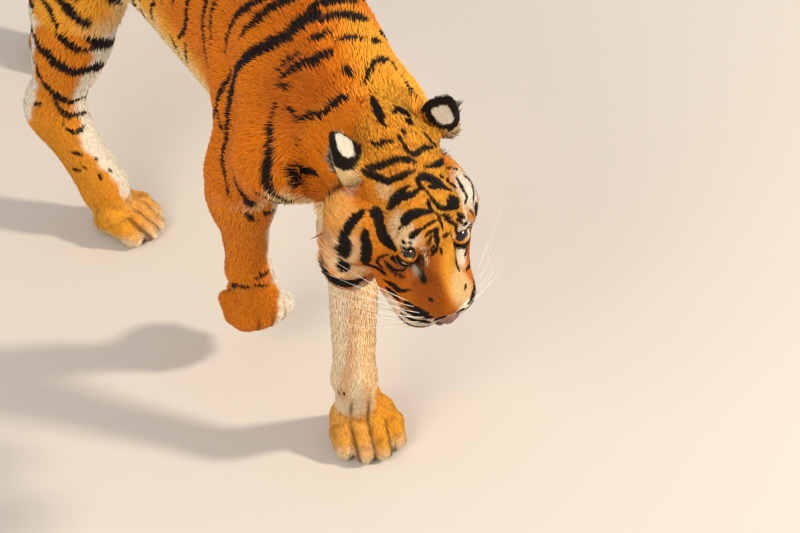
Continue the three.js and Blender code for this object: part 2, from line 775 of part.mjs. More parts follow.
[['fore_left', FORE_LEFT], ['fore_right', FORE_RIGHT]].forEach(([name, leg]) => {
  addLeg(name, [`${name}_forearm`], [wristPlane(leg)], [leg.elbow, leg.wrist]);
});
[['hind_left', HIND_LEFT], ['hind_right', HIND_RIGHT]].forEach(([name, leg]) => {
  const lengths = [`${name}_shank`, `${name}_foot`];
  addLeg(name, lengths, [hockPlane(leg), anklePlane(leg)], [leg.knee, leg.hock, leg.ankle]);
});

// ---------------------------------------------------------------- tail pieces

addLengths(
  ['tail_root', 'tail_middle', 'tail_end', 'tail_tip'],
  solid(tailNet).intersect(region([TAIL_ROOT])),
  [tailPlane(0.34), tailPlane(0.6), tailPlane(0.85)],
  ORANGE_COAT,
);

// ---------------------------------------------------------------- finished group

const bounds = new THREE.Box3();
const finished = pieces.map(({ name, shape, material }) => {
  const mesh = new THREE.Mesh(geometryOf(shape), material);
  mesh.name = name;
  bounds.expandByObject(mesh);
  return mesh;
});
const middle = bounds.getCenter(new THREE.Vector3());
const group = new THREE.Group();
finished.forEach((mesh) => {
  mesh.geometry.translate(-middle.x, -middle.y, 0);
  group.add(mesh);
});
group.name = 'tiger';
export default group;
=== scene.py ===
import math

import bpy
import numpy as np
from mathutils import Matrix, Vector


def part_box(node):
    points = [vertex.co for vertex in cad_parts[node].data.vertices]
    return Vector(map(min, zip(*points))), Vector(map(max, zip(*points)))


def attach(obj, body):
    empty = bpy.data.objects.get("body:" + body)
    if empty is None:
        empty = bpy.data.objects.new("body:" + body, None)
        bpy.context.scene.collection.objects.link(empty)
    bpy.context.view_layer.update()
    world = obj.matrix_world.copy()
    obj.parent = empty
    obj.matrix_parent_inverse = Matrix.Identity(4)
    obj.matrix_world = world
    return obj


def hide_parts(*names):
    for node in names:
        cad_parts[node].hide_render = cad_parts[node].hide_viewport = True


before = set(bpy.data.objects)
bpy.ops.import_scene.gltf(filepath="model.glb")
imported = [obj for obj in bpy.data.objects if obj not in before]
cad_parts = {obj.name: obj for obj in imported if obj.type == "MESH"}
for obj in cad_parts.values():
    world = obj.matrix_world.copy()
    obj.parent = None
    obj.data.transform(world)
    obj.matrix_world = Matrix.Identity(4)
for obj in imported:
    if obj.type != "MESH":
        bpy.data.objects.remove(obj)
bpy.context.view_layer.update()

# Lengths below are in millimetres from the floor point under the withers: x to the tiger's
# left, y back, z up. ORIGIN puts that point into the frame's metres.

rng = np.random.default_rng(7)


# ---------------------------------------------------------------- small tools


def unit(v):
    return v / np.maximum(np.linalg.norm(v, axis=-1, keepdims=True), 1e-9)


def smooth(low, high, x):
    t = np.clip((x - low) / (high - low), 0, 1)
    return t * t * (3 - 2 * t)


def lerp(a, b, t):
    return a + (b - a) * t


def turn(axis, degrees):
    return np.array(Matrix.Rotation(math.radians(degrees), 3, axis))


WAVES = unit(rng.normal(size=(9, 3)))
PHASES = rng.uniform(0, 2 * math.pi, 9)


def ripple(points, size):
    """A soft pattern between -1 and 1, with lumps of about that size."""
    waves = points @ (WAVES.T * (2 * math.pi / (2.2 * size))) + PHASES
    return np.sin(waves + 1.3 * np.sin(waves[:, ::-1] * 0.7)).mean(1) * 1.9


# ---------------------------------------------------------------- the living shape
# Each mass is a distance: less than 0 inside. Masses run together softly.


def limb(a, radius_a, b, radius_b):
    a, b = np.array(a, float), np.array(b, float)
    length = np.linalg.norm(b - a)
    axis = (b - a) / length
    slope = (radius_a - radius_b) / length
    flat = math.sqrt(1 - slope * slope)

    def distance(p):
        off = p - a
        along = off @ axis
        out = np.sqrt(np.maximum((off * off).sum(1) - along * along, 0))
        shifted = along + out * slope / flat
        side = out * flat + along * slope - radius_a
        start = np.hypot(along, out) - radius_a
        end = np.hypot(along - length, out) - radius_b
        return np.where(shifted <= 0, start, np.where(shifted >= length, end, side))

    return distance


def ball(centre, radii, spin=None):
    centre, radii = np.array(centre, float), np.array(radii, float)

    def distance(p):
        q = p - centre
        if spin is not None:
            q = q @ spin
        near = np.linalg.norm(q / radii, axis=1)
        steep = np.linalg.norm(q / radii**2, axis=1)
        return near * (near - 1) / np.maximum(steep, 1e-9)

    return distance


def blend(softness, fields):
    def distance(p):
        d = fields[0](p)
        for field in fields[1:]:
            other = field(p)
            near = np.maximum(softness - np.abs(d - other), 0) / softness
            d = np.minimum(d, other) - near * near * softness / 4
        return d

    return distance


def placed(field, origin, spin, size=1.0):
    def distance(p):
        return field((p - origin) @ spin / size) * size

    return distance


# Trunk
CHEST_TURN, RUMP_TURN = math.radians(-8), math.radians(21)
BEND_START, BEND_END = 100, 850
# distance behind the withers, top, bottom, half width
TRUNK = np.array([
    (-220, 640, 560, 40),
    (-195, 700, 528, 74),
    (-150, 765, 500, 96),
    (-80, 822, 482, 112),
    (0, 850, 472, 126),
    (100, 846, 466, 144),
    (220, 822, 462, 152),
    (340, 808, 460, 152),
    (460, 806, 468, 146),
    (560, 815, 474, 136),
    (640, 824, 500, 128),
    (720, 824, 540, 124),
    (800, 804, 590, 110),
    (865, 770, 620, 84),
    (905, 730, 645, 46),
], float)
SPINE_S = np.arange(-600.0, 1000.0, 10.0)
SPINE_TURN = CHEST_TURN + (RUMP_TURN - CHEST_TURN) * smooth(BEND_START, BEND_END, SPINE_S)
SPINE_X = np.concatenate([[0], np.cumsum(-np.sin(SPINE_TURN[:-1]) * 10)])
SPINE_Y = np.concatenate([[0], np.cumsum(np.cos(SPINE_TURN[:-1]) * 10)])
AT_WITHERS = int(np.argmin(np.abs(SPINE_S)))
SPINE_X -= SPINE_X[AT_WITHERS]
SPINE_Y -= SPINE_Y[AT_WITHERS]
BARREL_MIDDLE = 645  # height of the trunk's middle line


def runs_along(line):
    """Length of the chain of points up to each of them."""
    return np.concatenate([[0], np.cumsum(np.linalg.norm(np.diff(line, axis=0), axis=1))])


def along_spine(p):
    """Distance behind the withers, distance to the left of the spine, and the heading there."""
    best = np.empty(len(p), int)
    for start in range(0, len(p), 20000):
        q = p[start:start + 20000]
        away = (q[:, :1] - SPINE_X) ** 2 + (q[:, 1:2] - SPINE_Y) ** 2
        best[start:start + 20000] = away.argmin(1)
    dx, dy = p[:, 0] - SPINE_X[best], p[:, 1] - SPINE_Y[best]
    heading = SPINE_TURN[best]
    s = SPINE_S[best] - dx * np.sin(heading) + dy * np.cos(heading)
    return s, dx * np.cos(heading) + dy * np.sin(heading), heading


SPAN = np.diff(TRUNK[:, 0])
TRUNK_SLOPE = np.gradient(TRUNK[:, 1:], TRUNK[:, 0], axis=0)


def trunk_section(s):
    i = np.clip(np.searchsorted(TRUNK[:, 0], s) - 1, 0, len(TRUNK) - 2)
    width = SPAN[i][:, None]
    t = ((s - TRUNK[i, 0]) / SPAN[i])[:, None]
    a, b = TRUNK[i, 1:], TRUNK[i + 1, 1:]
    slope_a, slope_b = TRUNK_SLOPE[i] * width, TRUNK_SLOPE[i + 1] * width
    rise = b - a
    curve = 3 * rise - 2 * slope_a - slope_b + t * (slope_a + slope_b - 2 * rise)
    return (a + t * (slope_a + t * curve)).T


def trunk_field(p):
    s, across, _ = along_spine(p)
    held = np.clip(s, TRUNK[0, 0], TRUNK[-1, 0])
    top, bottom, half = trunk_section(held)
    middle, tall = (top + bottom) / 2, (top - bottom) / 2
    rise = p[:, 2] - middle
    share = (np.abs(across / half) ** 2.2 + np.abs(rise / tall) ** 2.2) ** (1 / 2.2)
    out = np.hypot(across, rise)
    flat = out - out / np.maximum(share, 1e-6)
    past = np.abs(s - held)
    return np.where(past > 0, np.hypot(np.maximum(flat, 0), past), flat)


# Legs: joints from the top down to the floor
FORE_LEFT = dict(blade=(40, 14, 766), triceps=(78, 66, 640), shoulder=(68, -120, 612),
                 elbow=(44, -66, 450), wrist=(-46, -196, 150), paw=(-24, -184))
FORE_RIGHT = dict(blade=(-52, 14, 770), triceps=(-78, 66, 640), shoulder=(-114, -110, 610),
                  elbow=(-113, 38, 468), wrist=(-88, 86, 218), paw=(-64, 86))
HIND_LEFT = dict(hip=(62, 798, 660), knee=(80, 880, 442), hock=(62, 1100, 264),
                 ankle=(54, 1086, 92), paw=(47, 1062))
HIND_RIGHT = dict(hip=(-128, 735, 660), knee=(-96, 618, 478), hock=(-160, 650, 218),
                  ankle=(-116, 570, 84), paw=(-100, 540))
LEGS = dict(fore_left=FORE_LEFT, fore_right=FORE_RIGHT, hind_left=HIND_LEFT, hind_right=HIND_RIGHT)
PAW_HEADING = dict(fore_left=16, hind_left=-12, hind_right=-35)
PAW_SIZE = dict(fore_left=0.98, hind_left=0.9, hind_right=0.9)
for leg in LEGS.values():
    for key in leg:
        leg[key] = np.array(leg[key], float)


def fore_leg_fields(leg):
    muscle = lerp(leg["elbow"], leg["wrist"], 0.25) + (0, 6, 0)
    return [
        limb(leg["blade"], 50, leg["shoulder"], 74),
        limb(leg["shoulder"], 74, leg["elbow"], 56),
        limb(leg["triceps"], 54, leg["elbow"] + (0, 18, 6), 48),
        limb(leg["elbow"], 52, muscle, 51),
        limb(muscle, 51, leg["wrist"], 38),
    ]


def hind_leg_fields(leg):
    seat = leg["hip"] + (0, 72, -40)
    calf = lerp(leg["knee"], leg["hock"], 0.3) + (0, 26, 0)
    heel = leg["hock"] + (0, 26, 10)
    return [
        limb(leg["hip"], 96, leg["knee"], 70),
        limb(seat, 66, calf, 58),
        limb(leg["knee"], 64, lerp(leg["knee"], leg["hock"], 0.5), 50),
        limb(calf, 54, heel, 26),
        limb(lerp(leg["knee"], leg["hock"], 0.4), 48, leg["hock"], 37),
        limb(leg["hock"], 37, leg["ankle"], 35),
        limb(heel, 27, leg["ankle"], 30),
    ]


# Paws, in a frame of their own: x to the left, y back, origin under the knuckles
TOE_PITCH, TOE_RADIUS = 30, 20
TOE_REACH = (-46, -66, -66, -46)


def toes(reach_of):
    return [reach_of((i - 1.5) * TOE_PITCH, reach) for i, reach in enumerate(TOE_REACH)]


def planted_toe(x, reach):
    bend = (x, reach * 0.42, 36)
    knuckle = limb((x * 0.8, 12, 42), TOE_RADIUS + 3, bend, TOE_RADIUS + 3)
    tip = (x * 1.04, reach, TOE_RADIUS - 3)
    return blend(4, [knuckle, limb(bend, TOE_RADIUS + 3, tip, TOE_RADIUS)])


def paw_frame(name):
    leg = LEGS[name]
    origin = np.array([leg["paw"][0], leg["paw"][1], 0.0])
    return origin, turn("Z", -PAW_HEADING[name])


def planted_paw(name, joint):
    origin, spin = paw_frame(name)
    size = PAW_SIZE[name]
    top = (LEGS[name][joint] - origin) @ spin / size
    masses = [
        blend(5, toes(planted_toe)),
        limb(top, 37, (-14, 16, 42), 34),
        limb(top, 37, (14, 16, 42), 34),
        ball((0, 24, 18), (46, 38, 22)),
    ]
    return placed(blend(20, masses), origin, spin, size)


LIFTED = np.array([FORE_RIGHT["paw"][0], FORE_RIGHT["paw"][1], 106.0])  # knuckles of the lifted paw


def lifted_toe(x, reach):
    x *= 0.86
    root, bend = LIFTED + (x, 0, 0), LIFTED + (x, 20 - reach * 0.2, -8)
    tip = LIFTED + (x, 26 - reach * 0.75, 6)
    return blend(4, [limb(root, 24, bend, 23), limb(bend, 23, tip, 18)])


def lifted_paw():
    wrist = FORE_RIGHT["wrist"]
    return blend(20, [
        blend(5, toes(lifted_toe)),
        limb(wrist, 37, LIFTED + (-15, -2, 8), 34),
        limb(wrist, 37, LIFTED + (15, -2, 8), 34),
        ball(LIFTED + (0, 38, 26), (40, 26, 30)),
    ])


# Head, in a frame of its own: x to its left, y back, z up from the palate
HEAD_CENTRE = np.array([-15.5, -253, 622.0])
HEAD_SPIN = turn("Z", -2.3) @ turn("X", 44) @ turn("Y", 12.1)
HEAD_SIZE = 1.02


def to_head(p):
    return (p - HEAD_CENTRE) @ HEAD_SPIN / HEAD_SIZE


def from_head(p):
    return np.asarray(p, float) * HEAD_SIZE @ HEAD_SPIN.T + HEAD_CENTRE


def mirrored(h):
    """Head points folded onto the tiger's left half."""
    return np.stack([np.abs(h[:, 0]), h[:, 1], h[:, 2]], 1)


def both(make):
    return [make(-1), make(1)]


HEAD_MASSES = [
    ball((0, 2, 60), (88, 92, 66)),  # skull
    ball((0, -62, 66), (76, 90, 52)),  # forehead
    limb((0, -234, 40), 23, (0, -140, 62), 34),  # bridge of the nose
    limb((0, -205, 14), 47, (0, -120, 24), 66),  # muzzle
    limb((0, -205, -30), 30, (0, -70, -46), 56),  # lower jaw
    ball((0, -226, -30), (31, 33, 31)),  # chin
    *both(lambda s: limb((s * 57, -126, 84), 15, (s * 40, -92, 92), 24)),  # brow
    *both(lambda s: ball((s * 32, -218, 20), (43, 42, 38))),  # whisker pad
    *both(lambda s: ball((s * 90, -66, 22), (52, 72, 54))),  # cheek
    *both(lambda s: limb((s * 66, -144, 36), 27, (s * 84, -70, 42), 36)),  # cheekbone
    *both(lambda s: ball((s * 58, -168, 16), (27, 44, 34))),  # below the eye
    *both(lambda s: limb((s * 62, -78, -44), 54, (s * 75, -114, -58), 49)),  # ruff
]
NECK = [((-8, -20, 700), 106), ((-14, -150, 665), 100), ((-16, -230, 640), 94)]
neck_fields = [limb(*NECK[i], *NECK[i + 1]) for i in range(2)]

# Tail
TAIL_LINE = np.array([
    (-50, 820, 740), (-92, 920, 706), (-130, 1010, 600), (-158, 1080, 470),
    (-180, 1150, 350), (-192, 1235, 268), (-182, 1330, 240), (-156, 1415, 266),
], float)


def curve_through(points, steps):
    padded = np.vstack([2 * points[0] - points[1], points, 2 * points[-1] - points[-2]])
    made = []
    for i in range(len(points) - 1):
        a, b, c, d = padded[i:i + 4]
        for t in np.arange(steps) / steps:
            made.append(0.5 * (2 * b + (c - a) * t + (2 * a - 5 * b + 4 * c - d) * t**2
                               + (3 * b - a - 3 * c + d) * t**3))
    return np.array(made + [points[-1]])


TAIL_CURVE = curve_through(TAIL_LINE, 6)
TAIL_RUN = runs_along(TAIL_CURVE)
TAIL_RUN /= TAIL_RUN[-1]
TAIL_RADIUS = lerp(43, 26, TAIL_RUN**0.7)
tail_field = blend(6, [
    limb(TAIL_CURVE[i], TAIL_RADIUS[i], TAIL_CURVE[i + 1], TAIL_RADIUS[i + 1] - (6 if i > 39 else 0))
    for i in range(0, len(TAIL_CURVE) - 1)
])

trunk_and_legs = blend(55, [
    trunk_field,
    *neck_fields,
    *fore_leg_fields(FORE_LEFT),
    *fore_leg_fields(FORE_RIGHT),
    *hind_leg_fields(HIND_LEFT),
    *hind_leg_fields(HIND_RIGHT),
])
paw_fields = dict(
    fore_left=planted_paw("fore_left", "wrist"),
    fore_right=lifted_paw(),
    hind_left=planted_paw("hind_left", "ankle"),
    hind_right=planted_paw("hind_right", "ankle"),
)
with_paws = blend(18, [trunk_and_legs, *paw_fields.values()])
EAR_ROOTS = [((-78, 4, 76), 22, (-102, 30, 84), 17), ((84, 22, 82), 22, (90, 40, 98), 17)]
head_with_ears = placed(
    blend(26, [blend(22, HEAD_MASSES), *(limb(*root) for root in EAR_ROOTS)]),
    HEAD_CENTRE, HEAD_SPIN, HEAD_SIZE)
whole = blend(30, [blend(20, [with_paws, tail_field]), head_with_ears])

EYE = np.array([53, -141, 65.0])
EYE_RADIUS = 18.0
box_low, box_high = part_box("eye_left")
ORIGIN = (np.array(box_low) + np.array(box_high)) / 2 - from_head(EYE) * 0.001


def to_scene(p):
    return np.asarray(p) * 0.001 + ORIGIN


def from_scene(p):
    return (np.asarray(p) - ORIGIN) * 1000


# ---------------------------------------------------------------- depth of the coat


def head_share(p):
    """1 on the head, 0 on the body."""
    h = to_head(p)
    reach = np.sqrt((h[:, 0] / 148) ** 2 + ((h[:, 1] + 85) / 204) ** 2 + ((h[:, 2] - 12) / 140) ** 2)
    return 1 - smooth(0.95, 1.15, reach)


def coat_depth(p):
    h = to_head(p)
    depth = np.full(len(p), 10.0)
    depth = lerp(depth, 13, smooth(540, 470, p[:, 2]) * smooth(420, 455, p[:, 2]))  # belly
    depth = lerp(depth, 5.5, smooth(430, 330, p[:, 2]) * smooth(1150, 1100, p[:, 1]))  # legs
    depth = lerp(depth, 3.0, smooth(110, 60, p[:, 2]))  # paws
    face = 3.0 + 8 * smooth(-120, -40, h[:, 1]) * smooth(30, 90, np.abs(h[:, 0]))
    face += 3 * smooth(-100, 0, h[:, 1])
    face += 9 * smooth(-20, -60, h[:, 2]) * smooth(-150, -100, h[:, 1])
    face = lerp(face, 1.6, smooth(-170, -215, h[:, 1]))
    return lerp(depth, face, head_share(p))


def settle(p, steps=4):
    """Moves points onto the skin: the living shape less the coat."""
    p = p.copy()
    depth = coat_depth(p)
    for _ in range(steps):
        here = whole(p) + depth
        slope = np.stack([(whole(p + step) + depth - here) for step in np.eye(3)], 1)
        move = -here / np.maximum((slope * slope).sum(1), 0.25)
        p += slope * np.clip(move, -9, 9)[:, None]
    return p


# ---------------------------------------------------------------- skin

FLESH = [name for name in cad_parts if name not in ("eye_left", "eye_right", "nose")]
BODY_VOXEL = 0.0095


def deselect():
    for obj in bpy.context.selected_objects:
        obj.select_set(False)


def activate(obj):
    deselect()
    obj.select_set(True)
    bpy.context.view_layer.objects.active = obj


def points_of(mesh):
    flat = np.empty(len(mesh.vertices) * 3, np.float32)
    mesh.vertices.foreach_get("co", flat)
    return flat.reshape(-1, 3).astype(float)


def set_points(mesh, points):
    mesh.vertices.foreach_set("co", np.asarray(points, np.float32).ravel())
    mesh.update()


def normals_of(mesh):
    flat = np.empty(len(mesh.vertices) * 3, np.float32)
    mesh.vertex_normals.foreach_get("vector", flat)
    return flat.reshape(-1, 3).astype(float)


def face_middles(mesh):
    flat = np.empty(len(mesh.polygons) * 3, np.float32)
    mesh.polygons.foreach_get("center", flat)
    return flat.reshape(-1, 3).astype(float)


def paint_points(mesh, colours):
    """Keeps one colour for each point of the mesh, for the coat's finishes."""
    rgba = np.ones((len(colours), 4), np.float32)
    rgba[:, :3] = colours
    held = mesh.attributes.new("coat_colour", "FLOAT_COLOR", "POINT")
    held.data.foreach_set("color", rgba.ravel())


def add_object(name, data):
    obj = bpy.data.objects.new(name, data)
    bpy.context.scene.collection.objects.link(obj)
    return obj


def joined_flesh():
    copies = []
    for name in FLESH:
        if name.startswith("ear_"):
            continue
        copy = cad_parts[name].copy()
        copy.data = copy.data.copy()
        copy.parent = None
        copy.name = "skin_" + name
        for key in list(copy.keys()):
            del copy[key]
        bpy.context.scene.collection.objects.link(copy)
        copies.append(copy)
    deselect()
    for copy in copies:
        copy.select_set(True)
    bpy.context.view_layer.objects.active = copies[0]
    bpy.ops.object.join()
    skin = bpy.context.view_layer.objects.active
    skin.name = "skin"
    skin.data.materials.clear()
    skin.data.remesh_voxel_size = BODY_VOXEL
    bpy.ops.object.voxel_remesh()
    return skin


def refine(obj, wanted):
    """Splits the faces whose middles are wanted."""
    mesh = obj.data
    chosen = wanted(from_scene(face_middles(mesh)))
    activate(obj)
    bpy.ops.object.mode_set(mode="EDIT")
    bpy.ops.mesh.select_all(action="DESELECT")
    bpy.ops.mesh.select_mode(type="FACE")
    bpy.ops.object.mode_set(mode="OBJECT")
    mesh.polygons.foreach_set("select", chosen)
    bpy.ops.object.mode_set(mode="EDIT")
    bpy.ops.mesh.subdivide(number_cuts=1)
    bpy.ops.object.mode_set(mode="OBJECT")


def relax(obj, rounds):
    """Evens out the net of points."""
    mesh = obj.data
    edges = np.empty(len(mesh.edges) * 2, np.int32)
    mesh.edges.foreach_get("vertices", edges)
    a, b = edges.reshape(-1, 2).T
    points = points_of(mesh)
    count = np.bincount(a, minlength=len(points)) + np.bincount(b, minlength=len(points))
    for _ in range(rounds):
        total = np.zeros_like(points)
        for axis in range(3):
            total[:, axis] = np.bincount(a, points[b, axis], len(points))
            total[:, axis] += np.bincount(b, points[a, axis], len(points))
        points = lerp(points, total / count[:, None], 0.5)
    set_points(mesh, points)


def near_paws(p):
    return p[:, 2] < 150


def on_face(p):
    h = to_head(p)
    return (head_share(p) > 0.5) & (h[:, 1] < -20)


def from_eye(p):
    """Distance from the middle of the nearer eye."""
    return np.linalg.norm(mirrored(to_head(p)) - EYE, axis=1)


def near_eyes_or_mouth(p):
    h = to_head(p)
    eye = from_eye(p) < 36
    muzzle = (h[:, 1] < -175) & (np.abs(h[:, 2] - 5) < 60)
    return (head_share(p) > 0.5) & (eye | muzzle)


def at_eyes(p):
    return from_eye(p) < 27


SOLE_LEVEL = 1.5  # the skin stays this far above the floor


# ---------------------------------------------------------------- lids, mouth and folds


GAZE = unit(np.array([0.34, -0.82, 0.44]))
LID_SLANT = np.array([0.78, 0.58, -0.06])  # from the inner corner of the lids to the outer one
LID_LINE = unit(LID_SLANT - GAZE * (LID_SLANT @ GAZE))
LID_UP = np.cross(LID_LINE, GAZE)
LID_UP *= np.sign(LID_UP[2])
# The opening, in radians seen from the eye's middle: both its edges lie below the gaze
LID_HALF, LID_ABOVE, LID_BELOW = 0.95, -0.10, 0.32


def lid_gap(off):
    """Distance in mm from the edge of the lids over the eyeball: less than 0 in the opening."""
    away = off @ GAZE
    side = np.arctan2(off @ LID_LINE, away)
    rise = np.arctan2(off @ LID_UP, np.hypot(away, off @ LID_LINE))
    bow = 1 - (side / LID_HALF) ** 2
    upper, lower = LID_ABOVE * bow - 0.03 * side, -LID_BELOW * bow - 0.03 * side
    return np.maximum.reduce([rise - upper, lower - rise, np.abs(side) - LID_HALF]) * EYE_RADIUS, rise


def shape_lids(p):
    off = mirrored(to_head(p)) - EYE
    reach = np.linalg.norm(off, axis=1)
    near = (reach < 46) & (off @ GAZE > -6)
    off, reach = off[near], reach[near]
    gap, rise = lid_gap(off)
    crease = smooth(5, 7, gap) * (1 - smooth(7, 10, gap)) * (rise > 0)
    over = EYE_RADIUS + 2.4 * smooth(-0.6, 1.2, gap) - crease
    over = np.where(gap < 0, EYE_RADIUS - 2.5 * smooth(0, -1.5, gap), over)
    held = 1 - smooth(6, 17, gap)
    moved = EYE + off / reach[:, None] * lerp(reach, over, held)[:, None]
    moved[:, 0] *= np.sign(to_head(p[near])[:, 0])
    out = p.copy()
    out[near] = from_head(moved)
    return out


def line_distance(p, line):
    """Nearest distance to a chain of points, and the share of its length there."""
    line = np.asarray(line, float)
    runs = runs_along(line)
    best, share = np.full(len(p), 1e9), np.zeros(len(p))
    for i in range(len(line) - 1):
        step = line[i + 1] - line[i]
        t = np.clip((p - line[i]) @ step / (step @ step), 0, 1)
        away = np.linalg.norm(p - line[i] - t[:, None] * step, axis=1)
        closer = away < best
        best[closer] = away[closer]
        share[closer] = ((runs[i] + t * (runs[i + 1] - runs[i])) / runs[-1])[closer]
    return best, share


MOUTH = [(0, -262, -8), (16, -256, -13), (33, -236, -19), (45, -205, -21), (50, -178, -16),
         (52, -164, -8)]
PHILTRUM = [(0, -276, 24), (0, -268, 8), (0, -262, -8)]
# line in head places, depth (less than 0 raises), half width
FOLDS = [
    (MOUTH, 5.0, 4.0),
    (PHILTRUM, 3.0, 3.0),
    ([(37, -160, 74), (34, -174, 70), (32, -192, 66)], 2.4, 5.0),  # from the inner corner of the eye
    ([(0, -120, 118), (0, -60, 126), (0, 0, 126)], 2.0, 9.0),  # middle of the forehead
    ([(32, -148, 90), (48, -140, 92), (66, -128, 88)], -2.5, 5.0),  # edge of the brow
    ([(80, -144, 62), (68, -156, 60), (52, -166, 60)], 1.6, 4.0),  # under the lower lid
]


def carve(p, normals):
    folded = mirrored(to_head(p))
    near = head_share(p) > 0.5
    depth = np.zeros(len(p))
    for line, deep, half in FOLDS:
        away, share = line_distance(folded[near], curve_through(np.array(line, float), 5))
        depth[near] += deep * np.exp(-(away / half) ** 2) * smooth(1.08, 0.8, share)
    return p - normals * depth[:, None]


def settle_where(obj, wanted, steps):
    points = from_scene(points_of(obj.data))
    chosen = wanted(points)
    points[chosen] = settle(points[chosen], steps)
    set_points(obj.data, to_scene(points))


def on_head(p):
    return head_share(p) > 0.2


skin = joined_flesh()
relax(skin, 6)
settle_where(skin, lambda p: p[:, 2] > -1e9, 4)
refine(skin, lambda p: near_paws(p) | on_face(p))
relax(skin, 1)
refine(skin, near_eyes_or_mouth)
refine(skin, at_eyes)
settle_where(skin, lambda p: near_paws(p) | on_head(p), 3)
skin_points = from_scene(points_of(skin.data))
skin_points = carve(skin_points, normals_of(skin.data))
skin_points = shape_lids(skin_points)
skin_points[:, 2] = np.maximum(skin_points[:, 2], SOLE_LEVEL)
set_points(skin.data, to_scene(skin_points))
activate(skin)
bpy.ops.object.shade_smooth()


# ---------------------------------------------------------------- places on the body

LEG_CHAIN = dict(
    fore_left=("shoulder", "elbow", "wrist", "paw"), fore_right=("shoulder", "elbow", "wrist", "paw"),
    hind_left=("hip", "knee", "hock", "ankle", "paw"),
    hind_right=("hip", "knee", "hock", "ankle", "paw"),
)
LEG_NAMES = list(LEG_CHAIN)
TRUNK_PART, HEAD_PART, TAIL_PART, FIRST_LEG = 0, 1, 2, 3
LEG_TOP = dict(fore_left=430, fore_right=440, hind_left=430, hind_right=440)


def leg_axis(name):
    leg = LEGS[name]
    chain = [leg[key] for key in LEG_CHAIN[name][:-1]]
    return np.array(chain + [LIFTED if name == "fore_right" else np.append(leg["paw"], 25)])


def around_leg(name, p):
    """Distance from the leg's axis, share of its length, and the angle: 0 outward, 90 in front."""
    axis = leg_axis(name)
    away, share = line_distance(p, axis)
    runs = runs_along(axis)
    middle = np.stack([np.interp(share * runs[-1], runs, axis[:, i]) for i in range(3)], 1)
    off = p - middle
    outward = 1 if name.endswith("left") else -1
    return away, share, np.degrees(np.arctan2(-off[:, 1], outward * off[:, 0]))


def along_tail(p):
    away, share = line_distance(p, TAIL_CURVE)
    middle = np.stack([np.interp(share, TAIL_RUN, TAIL_CURVE[:, i]) for i in range(3)], 1)
    off = p - middle
    return away, share, np.degrees(np.arctan2(off[:, 0], off[:, 2] + 0.4 * (p[:, 1] - middle[:, 1])))


def part_of(p):
    part = np.zeros(len(p), int)
    part[head_share(p) > 0.5] = HEAD_PART
    fore, low = p[:, 1] < 330, p[:, 2] < 440
    for first, second, where in (("fore_left", "fore_right", low & fore),
                                 ("hind_left", "hind_right", low & ~fore)):
        spot = np.flatnonzero(where & (part == TRUNK_PART))
        first_off = line_distance(p[spot], leg_axis(first))[0]
        second_off = line_distance(p[spot], leg_axis(second))[0]
        part[spot] = np.where(first_off < second_off, FIRST_LEG + LEG_NAMES.index(first),
                              FIRST_LEG + LEG_NAMES.index(second))
    for i, name in enumerate(LEG_NAMES):
        part[(part == FIRST_LEG + i) & (p[:, 2] > LEG_TOP[name])] = TRUNK_PART
    behind = np.flatnonzero(p[:, 1] > 790)
    on_tail = tail_field(p[behind]) < with_paws(p[behind]) - 1
    part[behind[on_tail]] = TAIL_PART
    return part


def around_trunk(p):
    """Distance behind the withers and the angle: 0 above, 90 on the left, -90 on the right."""
    s, across, _ = along_spine(p)
    return s, np.degrees(np.arctan2(across, p[:, 2] - BARREL_MIDDLE))


def toe_crease(name, p):
    """How near a place is to the lines between the toes: 1 on the line."""
    if name == "fore_right":
        x, y = ((p - LIFTED)[:, :2]).T / 0.86
        along = smooth(30, 14, y)
    else:
        origin, spin = paw_frame(name)
        x, y = ((p - origin) @ spin / PAW_SIZE[name])[:, :2].T
        along = smooth(-16, -34, y)
    off = np.abs((x + TOE_PITCH / 2) % TOE_PITCH - TOE_PITCH / 2)
    return np.exp(-(off / 3.4) ** 2) * (np.abs(x) < 40) * along


# ---------------------------------------------------------------- markings

ORANGE = np.array([0.64, 0.165, 0.004])
DEEP_ORANGE = np.array([0.40, 0.085, 0.003])
GOLD = np.array([0.84, 0.37, 0.03])
CREAM = np.array([0.84, 0.57, 0.27])
WHITE = np.array([0.88, 0.78, 0.64])
BLACK = np.array([0.010, 0.007, 0.006])
LIGHT_BROWN = np.array([0.60, 0.25, 0.05])
INNER_EAR = np.array([0.42, 0.25, 0.19])
TRUNK_SCALE = 2.6  # mm round the trunk for one degree
FORE_SCALE, HIND_SCALE = 0.8, 0.95  # the same on the legs


def taper(share, start, end):
    """How full a stripe is along its length: it runs to a point over its first and last part."""
    rising = np.minimum(1, (share + 0.02) / max(start, 0.02))
    falling = np.minimum(1, (1.02 - share) / max(end, 0.02))
    return (rising**0.7) * (falling**0.7)


def stripe_value(p, line, half, start=0.3, end=0.5, on_skin=None):
    """More than 0 inside the stripe, in mm."""
    line = curve_through(np.array(line, float), 5)
    if on_skin:
        line = on_skin(line)
    value = np.full(len(p), -99.0)
    near = ((p > line.min(0) - half - 6) & (p < line.max(0) + half + 6)).all(1)
    away, share = line_distance(p[near], line)
    value[near] = half * taper(share, start, end) - away
    return value


def stripes_on(p, table, on_skin=None):
    value = np.full(len(p), -99.0)
    for line, half, *ends in table:
        value = np.maximum(value, stripe_value(p, line, half, *ends, on_skin=on_skin))
    return value


def on_head_skin(line):
    return to_head(settle(from_head(line)))


